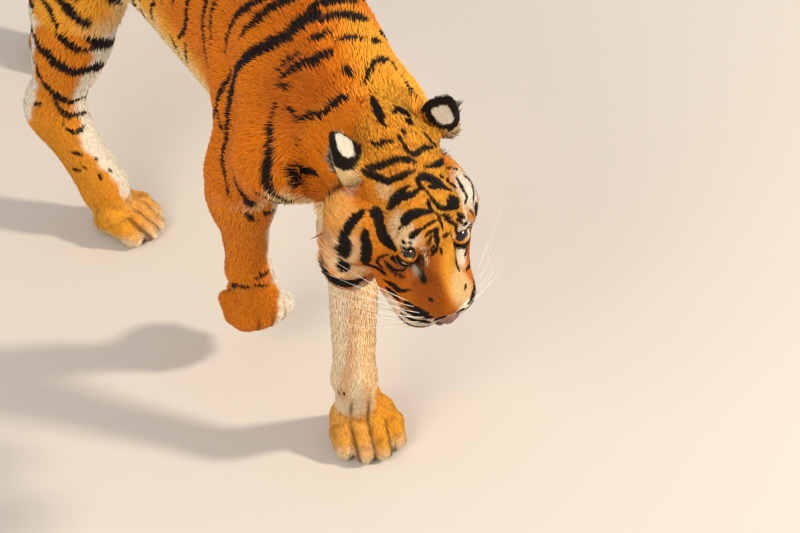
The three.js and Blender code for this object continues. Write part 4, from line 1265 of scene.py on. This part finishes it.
def roots_on(obj, tufts_at):
    """Even places on the faces, with their smooth normals."""
    mesh = obj.data
    points, normals = points_of(mesh), normals_of(mesh)
    loops = np.empty(len(mesh.loops), np.int32)
    mesh.loops.foreach_get("vertex_index", loops)
    starts, totals = np.empty(len(mesh.polygons), np.int32), np.empty(len(mesh.polygons), np.int32)
    mesh.polygons.foreach_get("loop_start", starts)
    mesh.polygons.foreach_get("loop_total", totals)
    areas = np.empty(len(mesh.polygons), np.float32)
    mesh.polygons.foreach_get("area", areas)
    corners = np.stack([loops[starts + np.minimum(i, totals - 1)] for i in range(4)], 1)
    middles = from_scene(points[corners].mean(1))
    wanted = areas * 1e4 * tufts_at(middles)
    counts = np.floor(wanted + rng.random(len(wanted))).astype(int)
    face = np.repeat(np.arange(len(counts)), counts)
    order = np.arange(len(face)) - np.repeat(np.cumsum(counts) - counts, counts)
    shift = rng.random((len(counts), 2))[face]
    u = (shift[:, 0] + order * 0.7548776662) % 1
    v = (shift[:, 1] + order * 0.5698402910) % 1
    weights = np.stack([(1 - u) * (1 - v), u * (1 - v), u * v, (1 - u) * v], 1)[:, :, None]
    where = (points[corners[face]] * weights).sum(1)
    facing = unit((normals[corners[face]] * weights).sum(1))
    return from_scene(where), facing


def lay_tufts(name, root, facing, lie, length, half, lift, colour, flat_place):
    """Closed four-faced slivers: root, two sides and tip."""
    count = len(root)
    across = unit(np.cross(facing, lie))
    ahead = np.cross(across, facing)
    drop = rng.uniform(0.55, 1.0, count)
    rise = length * np.sin(lift)
    reach = length * np.cos(lift)
    middle = root + ahead * (0.42 * reach)[:, None] + facing * (0.5 * rise + 0.35 * half)[:, None]
    corners = np.stack([
        root - facing * 0.8,
        middle - across * half[:, None],
        middle + across * half[:, None],
        root + ahead * reach[:, None] + facing * (rise * drop)[:, None],
    ], 1)
    corners = to_scene(corners.reshape(-1, 3))
    first = np.arange(count) * 4
    faces = np.stack([first, first + 1, first + 2, first + 1, first + 3, first + 2,
                      first, first + 2, first + 3, first, first + 3, first + 1], 1).reshape(-1)
    mesh = bpy.data.meshes.new(name)
    mesh.vertices.add(count * 4)
    mesh.vertices.foreach_set("co", corners.astype(np.float32).ravel())
    mesh.loops.add(len(faces))
    mesh.loops.foreach_set("vertex_index", faces.astype(np.int32))
    mesh.polygons.add(count * 4)
    mesh.polygons.foreach_set("loop_start", (np.arange(count * 4) * 3).astype(np.int32))
    mesh.polygons.foreach_set("use_smooth", np.ones(count * 4, bool))
    shade = np.stack([bright + spread * (rng.random(count) - 0.5) for bright, spread in SHADES], 1)
    shade = shade[:, [0, 1, 1, 2]]
    paint_points(mesh, np.clip(colour[:, None, :] * shade[:, :, None], 0.003, 0.95).reshape(-1, 3))
    patch = np.array([(-0.5, -0.5), (0.5, -0.5), (-0.5, 0.5), (0.5, 0.5)]) * PATCH
    place = np.clip(flat_place, PATCH, 1 - PATCH)[:, None, :] + patch
    uv = mesh.uv_layers.new(name="OFBake")
    uv.data.foreach_set("uv", place.reshape(-1, 2)[faces].astype(np.float32).ravel())
    mesh.update()
    mesh.validate()
    leaning = np.stack([facing - ahead * 0.3, facing - across * 0.55,
                        facing + across * 0.55, facing + ahead * 0.2], 1)
    leaning += 0.22 * rng.normal(size=(count, 1, 3))
    mesh.normals_split_custom_set_from_vertices(unit(leaning).reshape(-1, 3).astype(np.float32))
    return add_object(name, mesh)


NOSE_BARE = (0, -258, 26), (26, 15, 16)  # the middle and size of the place with no hair
root, facing = roots_on(skin, lambda p: tufts_for_area(p, part_of(p)))
part = part_of(root)
gap = lid_gap(mirrored(to_head(root)) - EYE)[0]
nose_off = np.linalg.norm((to_head(root) - NOSE_BARE[0]) / NOSE_BARE[1], axis=1)
mouth_off = line_distance(mirrored(to_head(root)), MOUTH)[0]
sole = (root[:, 2] < 9) & (facing[:, 2] < -0.3)
lips = (mouth_off < 1.6) & (to_head(root)[:, 1] < -150)
bare = ((from_eye(root) < 22) & (gap < 1.8)) | (nose_off < 1) | lips | sole
root, facing, part = root[~bare], facing[~bare], part[~bare]
colour = coat_colour(root, part)
crown = part == HEAD_PART
crown &= (to_head(root)[:, 1] > -115) & (to_head(root)[:, 2] > 60)
crown &= rng.random(len(root)) < DARK_HAIRS
colour[crown] *= DARK_HAIR_SHADE  # dark hairs among the gold of the forehead
lie = combed(root, part)
lie += facing * -(lie * facing).sum(1)[:, None]
lie = unit(lie)
sway = np.radians(9) * rng.normal(size=len(root)) + np.radians(12) * ripple(root + 400, 16)
lie = lie * np.cos(sway)[:, None] + np.cross(facing, lie) * np.sin(sway)[:, None]
length = hair_length(root, part) * rng.uniform(0.75, 1.2, len(root))
half = np.clip(length * TUFT_SLIMNESS, TUFT_LEAST, TUFT_MOST)
lift = np.radians(rng.uniform(5, 17, len(root)) + 4 * ripple(root, 14))
s, a = around_trunk(root)


def unrolled(p, chosen_part):
    if chosen_part == TRUNK_PART:
        s, a = around_trunk(p)
        return np.stack([(s + 330) / 1300, a / 360 + 0.5], 1)
    if chosen_part == HEAD_PART:
        h = to_head(p)
        return np.stack([(h[:, 1] + 290) / 420,
                         np.arctan2(h[:, 0], h[:, 2] - 20) / (2 * math.pi) + 0.5], 1)
    if chosen_part == TAIL_PART:
        _, share, angle = along_tail(p)
        return np.stack([share, angle / 360 + 0.5], 1)
    _, share, angle = around_leg(LEG_NAMES[chosen_part - FIRST_LEG], p)
    return np.stack([share, angle / 360 + 0.5], 1)


BANDS = (("neck", -999, -150), ("shoulder", -150, 120), ("barrel", 120, 420), ("flank", 420, 640),
         ("rump", 640, 2000))
locks = []
for band, low, high in BANDS:
    for side_name, side_chosen in (("right", a < 0), ("left", a >= 0)):
        locks.append(("coat_%s_%s" % (band, side_name),
                      (part == TRUNK_PART) & (s >= low) & (s < high) & side_chosen, 0))
head_x = to_head(root)[:, 0]
locks.append(("coat_head_right", (part == HEAD_PART) & (head_x < 0), HEAD_PART))
locks.append(("coat_head_left", (part == HEAD_PART) & (head_x >= 0), HEAD_PART))
locks.append(("coat_tail", part == TAIL_PART, TAIL_PART))
for i, name in enumerate(LEG_NAMES):
    locks.append(("coat_" + name, part == FIRST_LEG + i, FIRST_LEG + i))
coats = []
for name, chosen, where in locks:
    chosen = np.flatnonzero(chosen)
    coats.append(lay_tufts(name, root[chosen], facing[chosen], lie[chosen], length[chosen],
                           half[chosen], lift[chosen], colour[chosen],
                           unrolled(root[chosen], where)))

skin_points = from_scene(points_of(skin.data))
# The skin takes the coat's colours, darkened as painted shade under the tufts.
paint_points(skin.data, coat_colour(skin_points, part_of(skin_points)) * SKIN_SHADE)


# ---------------------------------------------------------------- eyes, nose, ears and whiskers


def ball_piece(name, segments, rings):
    deselect()
    bpy.ops.mesh.primitive_uv_sphere_add(segments=segments, ring_count=rings, radius=1,
                                         location=(0, 0, 0))
    piece = bpy.context.view_layer.objects.active
    piece.name = name
    return piece


def face_outwards(piece):
    activate(piece)
    bpy.ops.object.mode_set(mode="EDIT")
    bpy.ops.mesh.select_all(action="SELECT")
    bpy.ops.mesh.normals_make_consistent(inside=False)
    bpy.ops.object.mode_set(mode="OBJECT")
    bpy.ops.object.shade_smooth()


def number_on(piece, name, values):
    held = piece.data.attributes.new(name, "FLOAT", "POINT")
    held.data.foreach_set("value", np.asarray(values, np.float32))


def sided(v, side):
    return np.asarray(v, float) * (side, 1, 1)


CORNEA_EDGE = 34  # degrees from the middle of the iris


def make_eye(name, side):
    piece = ball_piece(name, 48, 40)
    d = points_of(piece.data)
    polar = np.degrees(np.arccos(np.clip(d[:, 2], -1, 1)))
    reach = EYE_RADIUS * (1 + 0.035 * smooth(CORNEA_EDGE, 4, polar))
    made = [d[:, :1] * sided(LID_LINE, side), d[:, 1:2] * sided(LID_UP, side),
            d[:, 2:] * sided(GAZE, side)]
    set_points(piece.data, to_scene(from_head(sided(EYE, side) + sum(made) * reach[:, None])))
    number_on(piece, "from_pupil", polar)
    face_outwards(piece)
    return piece


NOSE_MIDDLE, NOSE_SIZE = np.array([0, -255, 27.0]), np.array([26, 14, 16.0])
NOSTRIL = [(4, -269, 22), (10, -268, 28), (17, -264, 32), (24, -256, 32)]


def make_nose():
    piece = ball_piece("nose_leather", 64, 48)
    d = points_of(piece.data)
    d[:, 0] *= lerp(0.42, 1.0, smooth(-0.95, 0.15, d[:, 2]))
    d[:, 1] *= lerp(0.9, 1.0, smooth(-1, 0.2, d[:, 2]))
    h = NOSE_MIDDLE + d * NOSE_SIZE
    folded = mirrored(h)
    away, share = line_distance(folded, curve_through(np.array(NOSTRIL, float), 6))
    dent = 6.5 * np.exp(-(away / 3.4) ** 2) * smooth(1.15, 0.5, share)
    groove = 2.4 * np.exp(-(h[:, 0] / 1.6) ** 2) * smooth(42, 30, h[:, 2])
    wing = 2.0 * np.exp(-((folded - (22, -257, 37)) ** 2).sum(1) / 60)
    h += unit(h - NOSE_MIDDLE) * (wing - dent - groove)[:, None]
    set_points(piece.data, to_scene(from_head(h)))
    number_on(piece, "nostril", np.maximum(smooth(4.2, 2.0, away), 0))
    face_outwards(piece)
    return piece


# Ears: base on the head side, base on the outer side, and tip, in head places
EARS = dict(ear_right=((-70, 32, 85), (-100, -6, 66), (-129, 77, 100)),
            ear_left=((64, 50, 88), (120, 14, 72), (85, 72, 145)))


# Where the black of the ear's back begins: places across the ear and heights there
EAR_FOOT = dict(ear_right=((-0.76, 0.25, 0.63, 1.0), (-0.04, 0.08, 0.30, 0.6)),
                ear_left=((-0.9, 0.0, 0.7, 1.0), (-0.02, -0.10, 0.05, 0.4)))
# White patch on the back of the ear: heights up the ear, and the patch's two edges across it there
EAR_PATCH = dict(
    ear_right=((0.20, 0.30, 0.45, 0.60, 0.75, 0.83), (-0.45, -0.74, -0.68, -0.56, -0.38, -0.25),
               (-0.20, 0.10, 0.20, 0.18, 0.02, -0.20)),
    ear_left=((0.10, 0.20, 0.35, 0.50, 0.60, 0.68), (-0.30, -0.58, -0.58, -0.40, -0.28, -0.06),
              (-0.05, 0.40, 0.45, 0.25, 0.10, 0.0)),
)


class EarFrame:
    def __init__(self, name):
        self.patch, self.foot = EAR_PATCH[name], EAR_FOOT[name]
        inner, outer, tip = (from_head(v) for v in EARS[name])
        self.base = (inner + outer) / 2
        self.height = tip - self.base
        self.half = np.linalg.norm(outer - inner) * 0.62
        self.across = unit(outer - inner)
        self.opening = unit(np.cross(self.across, self.height))
        if self.opening @ HEAD_SPIN[:, 2] > 0:
            self.opening = -self.opening
        self.upright = unit(np.cross(self.opening, self.across))
        self.upright *= np.sign(self.upright @ self.height)

    def width(self, up):
        return self.half * np.maximum(1 - np.abs(up) ** 1.7, 0.002) ** 0.74

    def cup(self, side, up):
        return 13 * (side / self.half) ** 2 - 8 * np.maximum(up, 0) ** 2

    def places(self, p):
        """Share of the height, share of the width, and depth towards the opening."""
        off = p - self.base
        up = (off @ self.upright) / (self.height @ self.upright)
        side = off @ self.across - up * (self.height @ self.across)
        return up, side / self.half, off @ self.opening - self.cup(side, up)


def make_ear(name):
    piece = ball_piece(name + "_shell", 56, 44)
    d = points_of(piece.data)
    ear = EarFrame(name)
    share = np.arccos(np.clip(-d[:, 2], -1, 1)) / math.pi
    turned = np.arctan2(d[:, 1], d[:, 0])
    up = -0.40 + 1.39 * share
    side = np.cos(turned) * ear.width(up) * smooth(-0.02, 0.3, share) * 0.96
    thick = lerp(9, 2.2, np.maximum(up, 0)) * smooth(-0.02, 0.2, share)
    front = np.maximum(np.sin(turned), 0)
    hollow = front * lerp(13, 3.0, np.maximum(up, 0)) * (1 - (side / ear.half) ** 2)
    hollow *= smooth(-0.25, 0.1, up)
    depth = ear.cup(side, up) + np.sin(turned) * thick - hollow
    p = ear.base + up[:, None] * ear.height + side[:, None] * ear.across + depth[:, None] * ear.opening
    set_points(piece.data, to_scene(p))
    face_outwards(piece)
    return piece, ear


def ear_colour(ear, p, facing):
    up, side, _ = ear.places(p)
    wave = ripple(p, 6)
    outside = facing @ ear.opening < 0.1
    colour = np.tile(BLACK, (len(p), 1)) * 1.4
    heights, low, high = ear.patch
    inside = np.minimum(side - np.interp(up, heights, low), np.interp(up, heights, high) - side)
    inside = np.minimum(inside, 1.6 * np.minimum(up - heights[0], heights[-1] - up))
    colour = mixed(colour, WHITE, smooth(-0.05, 0.05, inside + 0.05 * wave))
    fringe = lerp(GOLD, CREAM, smooth(-0.2, 0.5, side)[:, None])
    below = np.interp(side, *ear.foot) - up + 0.05 * wave
    colour = np.where(below[:, None] > 0, lerp(colour, fringe, smooth(-0.02, 0.05, below)[:, None]),
                      colour)
    rim = smooth(0.88, 1.0, side / np.maximum(ear.width(up) / ear.half, 0.2))
    colour = mixed(colour, CREAM, 0.8 * rim * smooth(0.97, 0.8, up))
    deep = 0.6 * smooth(0.5, 0.1, np.abs(side)) * smooth(0.7, 0.2, up)
    inner = mixed(np.tile(WHITE, (len(p), 1)), INNER_EAR, deep)
    inner = mixed(inner, BLACK, smooth(0.8, 0.95, up))
    return np.where(outside[:, None], colour, inner)


def cover_ear(name, piece, ear):
    root, facing = roots_on(piece, lambda p: np.where((p - ear.base) @ ear.upright > 4, 46, 20))
    up, side, _ = ear.places(root)
    keep = (up > -0.3) & (up < 0.985)
    root, facing, up, side = root[keep], facing[keep], up[keep], side[keep]
    inside = facing @ ear.opening > 0.15
    lie = np.tile(unit(ear.height), (len(root), 1)) + ear.across * (side * 0.35)[:, None]
    inward = ear.across * 0.9 + ear.opening * 0.8 + unit(ear.height) * 0.5
    lie[inside] = inward + ear.across * (-1.2 * np.clip(side[inside], -1, 1))[:, None]
    length = lerp(8.5, 5.5, np.clip(up, 0, 1)) * rng.uniform(0.8, 1.2, len(root))
    length += 6 * smooth(0.15, -0.1, up)
    deep = inside & (np.abs(side) < 0.85)
    length[deep] = rng.uniform(12, 26, deep.sum()) * smooth(1.05, 0.5, up[deep])
    thin = inside & (rng.random(len(root)) > 0.45)
    held = (root, facing, lie, up, side, length, inside)
    root, facing, lie, up, side, length, inside = (v[~thin] for v in held)
    lift = np.radians(np.where(inside, rng.uniform(20, 60, len(root)), rng.uniform(6, 20, len(root))))
    lie = unit(lie - facing * (lie * facing).sum(1)[:, None])
    place = np.stack([np.clip(up * 0.45 + 0.25, 0, 1),
                      np.clip(side * 0.2 + np.where(inside, 0.25, 0.75), 0, 1)], 1)
    half = np.where(inside, 0.6, 0.62)
    return lay_tufts("coat_" + name, root, facing, lie, length, half, lift,
                     ear_colour(ear, root, facing), place)


def make_strands(name, lines, radii, sides=5):
    """Thin tapered strands along their lines, closed at both ends."""
    verts, faces = [], []
    for line, radius in zip(lines, radii):
        line = np.array(line, float)
        steps = len(line)
        ahead = unit(np.gradient(line, axis=0))
        across = unit(np.cross(ahead, (0.3, 0.2, 0.93)))
        other = np.cross(ahead, across)
        first = len(verts)
        for i in range(steps - 1):
            r = radius * (1 - (i / (steps - 1)) ** 1.5) + 0.08
            for j in range(sides):
                angle = 2 * math.pi * j / sides
                verts.append(line[i] + r * (math.cos(angle) * across[i] + math.sin(angle) * other[i]))
        verts += [line[0], line[-1]]
        for i in range(steps - 2):
            for j in range(sides):
                k = (j + 1) % sides
                a = first + i * sides
                faces.append((a + j, a + k, a + sides + k, a + sides + j))
        last = first + (steps - 2) * sides
        for j in range(sides):
            k = (j + 1) % sides
            faces.append((len(verts) - 2, first + k, first + j))
            faces.append((len(verts) - 1, last + j, last + k))
    mesh = bpy.data.meshes.new(name)
    mesh.from_pydata([tuple(v) for v in to_scene(np.array(verts))], [], faces)
    piece = add_object(name, mesh)
    face_outwards(piece)
    return piece


def whisker_lines():
    lines, radii = [], []
    for side in (-1, 1):
        for row, height in enumerate((38, 28, 18, 8)):
            for column in range(4):
                forward = -240 + 9.0 * column + 2 * row
                start = np.array([(46 + 3.5 * column) * side, forward, height - column])
                start = to_head(settle(from_head(start)[None]))[0]
                length = rng.uniform(95, 165) * lerp(0.75, 1.0, column / 4)
                out = [side * rng.uniform(0.85, 1.05), 0.25 + 0.12 * column, 0.12 - 0.16 * row]
                out = unit(np.array(out))
                bend = np.array([0, rng.uniform(0.25, 0.5), -rng.uniform(0.1, 0.35)])
                t = np.linspace(0, 1, 9)[:, None]
                lines.append(from_head(start + out * length * t + bend * length * t**2 * 0.6))
                radii.append(rng.uniform(0.34, 0.46))
        for number in range(5):
            start = np.array([(50 + 4 * number) * side, -124 - 3.0 * number, 98 - 3.0 * number])
            start = to_head(settle(from_head(start)[None]))[0]
            out = unit(np.array([side * (0.25 + 0.1 * number), -0.25, 0.9]))
            t = np.linspace(0, 1, 8)[:, None]
            lines.append(from_head(start + out * 55 * t + np.array([0, 0.5, 0]) * 40 * t**2))
            radii.append(0.3)
    return lines, radii


eyes = {name: make_eye(name + "_ball", side) for name, side in (("eye_right", -1), ("eye_left", 1))}
nose = make_nose()
whiskers = make_strands("whiskers", *whisker_lines())
ears = {}
for name in EARS:
    ears[name] = make_ear(name)
    coats.append(cover_ear(name, *ears[name]))
    shell, ear = ears[name]
    shell_points = from_scene(points_of(shell.data))
    # The ear shells take the ear's colours, darkened as painted shade under the tufts.
    paint_points(shell.data, ear_colour(ear, shell_points, normals_of(shell.data)) * EAR_SHADE)


# ---------------------------------------------------------------- finishes


def start_material(name):
    material = bpy.data.materials.new(name)
    material.use_nodes = True
    nodes = material.node_tree.nodes
    return material, nodes, material.node_tree.links, nodes["Principled BSDF"]


def set_inputs(node, **values):
    """Sets a node's inputs by name, with _ for each space."""
    for name, value in values.items():
        node.inputs[name.replace("_", " ")].default_value = value


def add_ramp(nodes, stops):
    """A colour ramp node with these stops: place and colour."""
    ramp = nodes.new("ShaderNodeValToRGB").color_ramp
    while len(ramp.elements) < len(stops):
        ramp.elements.new(0.5)
    for element, (place, colour) in zip(ramp.elements, stops):
        element.position = place
        element.color = (*colour, 1)
    return nodes[-1]


def add_socket(group, name, way, kind, value=None):
    socket = group.interface.new_socket(name=name, in_out=way, socket_type=kind)
    if value is not None:
        socket.default_value = value
    return socket


def hair_group():
    """Colour that varies from hair to hair, and a fine bump."""
    group = bpy.data.node_groups.new("hair_tone", "ShaderNodeTree")
    add_socket(group, "Colour", "INPUT", "NodeSocketColor")
    add_socket(group, "Fineness", "INPUT", "NodeSocketFloat", 500.0)
    add_socket(group, "Variation", "INPUT", "NodeSocketFloat", 0.3)
    add_socket(group, "Colour", "OUTPUT", "NodeSocketColor")
    add_socket(group, "Height", "OUTPUT", "NodeSocketFloat")
    nodes, links = group.nodes, group.links
    given, made = nodes.new("NodeGroupInput"), nodes.new("NodeGroupOutput")
    place, noise = nodes.new("ShaderNodeTexCoord"), nodes.new("ShaderNodeTexNoise")
    noise.inputs["Detail"].default_value = 3
    scale, mix = nodes.new("ShaderNodeMapRange"), nodes.new("ShaderNodeMix")
    mix.data_type, mix.blend_type = "RGBA", "MULTIPLY"
    scale.inputs["To Min"].default_value, scale.inputs["To Max"].default_value = 0.45, 1.5
    links.new(place.outputs["Object"], noise.inputs["Vector"])
    links.new(given.outputs["Fineness"], noise.inputs["Scale"])
    links.new(noise.outputs["Fac"], scale.inputs["Value"])
    links.new(given.outputs["Variation"], mix.inputs[0])
    links.new(given.outputs["Colour"], mix.inputs[6])
    links.new(scale.outputs["Result"], mix.inputs[7])
    links.new(mix.outputs[2], made.inputs["Colour"])
    links.new(noise.outputs["Fac"], made.inputs["Height"])
    return group


HAIR_TONE = hair_group()


def coat_material(name, fineness, variation, bump, roughness):
    material, nodes, links, shader = start_material(name)
    paint, tone = nodes.new("ShaderNodeAttribute"), nodes.new("ShaderNodeGroup")
    relief = nodes.new("ShaderNodeBump")
    paint.attribute_name = "coat_colour"
    tone.node_tree = HAIR_TONE
    set_inputs(tone, Fineness=fineness, Variation=variation)
    set_inputs(relief, Strength=bump, Distance=0.001)
    set_inputs(shader, Roughness=roughness, Specular_IOR_Level=0.12)
    links.new(paint.outputs["Color"], tone.inputs["Colour"])
    links.new(tone.outputs["Colour"], shader.inputs["Base Color"])
    links.new(tone.outputs["Height"], relief.inputs["Height"])
    links.new(relief.outputs["Normal"], shader.inputs["Normal"])
    return material


TUFT_FINISH = coat_material("tiger_tufts", 260, 0.35, 0.15, 0.62)
SKIN_FINISH = coat_material("tiger_short_fur", 520, 0.6, 0.6, 0.7)
skin.data.materials.append(SKIN_FINISH)
for coat in coats:
    coat.data.materials.append(TUFT_FINISH)


def eye_material():
    material, nodes, links, shader = start_material("tiger_eye")
    polar, share = nodes.new("ShaderNodeAttribute"), nodes.new("ShaderNodeMapRange")
    polar.attribute_name = "from_pupil"
    share.inputs["From Max"].default_value = 90
    place, fibre = nodes.new("ShaderNodeTexCoord"), nodes.new("ShaderNodeTexNoise")
    fibre.inputs["Scale"].default_value = 900
    jitter = nodes.new("ShaderNodeMath")
    jitter.operation = "MULTIPLY_ADD"
    jitter.inputs[1].default_value = 0.03
    ramp = add_ramp(nodes, [
        (0.0, (0.004, 0.004, 0.005)), (0.135, (0.004, 0.004, 0.005)), (0.165, (0.42, 0.30, 0.05)),
        (0.28, (0.50, 0.31, 0.05)), (0.36, (0.16, 0.09, 0.02)), (0.42, (0.01, 0.008, 0.006)),
        (1.0, (0.01, 0.008, 0.006)),
    ])
    links.new(place.outputs["Object"], fibre.inputs["Vector"])
    links.new(polar.outputs["Fac"], share.inputs["Value"])
    links.new(fibre.outputs["Fac"], jitter.inputs[0])
    links.new(share.outputs["Result"], jitter.inputs[2])
    links.new(jitter.outputs["Value"], ramp.inputs["Fac"])
    links.new(ramp.outputs["Color"], shader.inputs["Base Color"])
    set_inputs(shader, Roughness=0.25, Specular_IOR_Level=0.2, Coat_Weight=0.55, Coat_Roughness=0.03)
    return material


def nose_material():
    material, nodes, links, shader = start_material("tiger_nose")
    dark, place = nodes.new("ShaderNodeAttribute"), nodes.new("ShaderNodeTexCoord")
    grain = nodes.new("ShaderNodeTexVoronoi")
    dark.attribute_name = "nostril"
    grain.inputs["Scale"].default_value = 700
    blotch = nodes.new("ShaderNodeTexNoise")
    blotch.inputs["Scale"].default_value = 60
    tone = add_ramp(nodes, [(0.35, (0.11, 0.050, 0.032)), (0.62, (0.22, 0.100, 0.064))])
    mix, relief = nodes.new("ShaderNodeMix"), nodes.new("ShaderNodeBump")
    mix.data_type = "RGBA"
    mix.inputs[7].default_value = (0.01, 0.006, 0.005, 1)
    set_inputs(relief, Strength=0.5, Distance=0.0006)
    for texture in (grain, blotch):
        links.new(place.outputs["Object"], texture.inputs["Vector"])
    links.new(blotch.outputs["Fac"], tone.inputs["Fac"])
    links.new(dark.outputs["Fac"], mix.inputs[0])
    links.new(tone.outputs["Color"], mix.inputs[6])
    links.new(mix.outputs[2], shader.inputs["Base Color"])
    links.new(grain.outputs["Distance"], relief.inputs["Height"])
    links.new(relief.outputs["Normal"], shader.inputs["Normal"])
    shader.inputs["Roughness"].default_value = 0.38
    return material


def whisker_material():
    material, nodes, links, shader = start_material("whisker_horn")
    place, noise = nodes.new("ShaderNodeTexCoord"), nodes.new("ShaderNodeTexNoise")
    noise.inputs["Scale"].default_value = 80
    tone = add_ramp(nodes, [(0.3, (0.62, 0.58, 0.50)), (0.7, (0.88, 0.86, 0.80))])
    links.new(place.outputs["Object"], noise.inputs["Vector"])
    links.new(noise.outputs["Fac"], tone.inputs["Fac"])
    links.new(tone.outputs["Color"], shader.inputs["Base Color"])
    shader.inputs["Roughness"].default_value = 0.35
    return material


EYE_FINISH, NOSE_FINISH, WHISKER_FINISH = eye_material(), nose_material(), whisker_material()
for eye in eyes.values():
    eye.data.materials.append(EYE_FINISH)
nose.data.materials.append(NOSE_FINISH)
whiskers.data.materials.append(WHISKER_FINISH)
for shell, _ in ears.values():
    shell.data.materials.append(SKIN_FINISH)


# ---------------------------------------------------------------- camera, light and floor

LOOK_AT = (22.5, -246.5, 400)
LOOK_AZIMUTH, LOOK_DOWN, LOOK_ROLL = -30, 39.8, -2.0
LOOK_FROM = 8333  # distance of the camera
LENS, FILM = 225, 36
WARM_LIGHT = (1.0, 0.87, 0.68)
LIGHT_AIM = (0.0, -0.4, 0.4)


def add_camera():
    data = bpy.data.cameras.new("camera")
    data.lens, data.sensor_width = LENS, FILM
    camera = add_object("camera", data)
    azimuth, down = math.radians(LOOK_AZIMUTH), math.radians(LOOK_DOWN)
    back = Vector((math.sin(azimuth) * math.cos(down), -math.cos(azimuth) * math.cos(down),
                   math.sin(down)))
    camera.rotation_mode = "QUATERNION"
    upright = (-back).to_track_quat("-Z", "Y")
    rolled = Matrix.Rotation(math.radians(LOOK_ROLL), 3, "Z")
    camera.rotation_quaternion = upright @ rolled.to_quaternion()
    camera.location = Vector(to_scene(LOOK_AT)) + back * LOOK_FROM * 0.001
    data.clip_start, data.clip_end = 0.1, 100
    bpy.context.scene.camera = camera


def add_light(name, place, aim, size, power, tint):
    data = bpy.data.lights.new(name, "AREA")
    data.shape, data.size = "DISK", size
    data.energy, data.color = power, tint
    light = add_object(name, data)
    light.location = place
    light.rotation_mode = "QUATERNION"
    light.rotation_quaternion = (Vector(aim) - Vector(place)).to_track_quat("-Z", "Y")


def add_floor():
    bpy.ops.mesh.primitive_plane_add(size=40, location=(0, 0, 0))
    floor = bpy.context.view_layer.objects.active
    floor.name = "floor"
    bpy.ops.object.transform_apply(location=True, rotation=True, scale=True)
    paint, _, _, shader = start_material("pale_floor")
    set_inputs(shader, Base_Color=(0.62, 0.58, 0.54, 1), Roughness=0.8)
    floor.data.materials.append(paint)


deselect()
add_camera()
add_floor()
add_light("key", (5.1, -3.9, 4.1), LIGHT_AIM, 0.8, 560, WARM_LIGHT)
add_light("fill", (-4.2, -2.2, 3.4), LIGHT_AIM, 3.5, 170, WARM_LIGHT)
world = bpy.data.worlds.new("studio")
bpy.context.scene.world = world
world.use_nodes = True
set_inputs(world.node_tree.nodes["Background"], Color=(0.95, 0.96, 1.0, 1), Strength=0.62)
bpy.context.scene.view_settings.view_transform = "Standard"

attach(skin, "root")
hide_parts(*[name for name in FLESH if name not in EARS])
for piece, slot in [(coat, "coat") for coat in coats] + [(whiskers, "white_coat"), (nose, "nose")]:
    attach(piece, "root")
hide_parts("nose")
for name, eye in eyes.items():
    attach(eye, "root")
    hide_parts(name)
for name, (shell, _) in ears.items():
    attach(shell, "root")
    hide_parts(name)
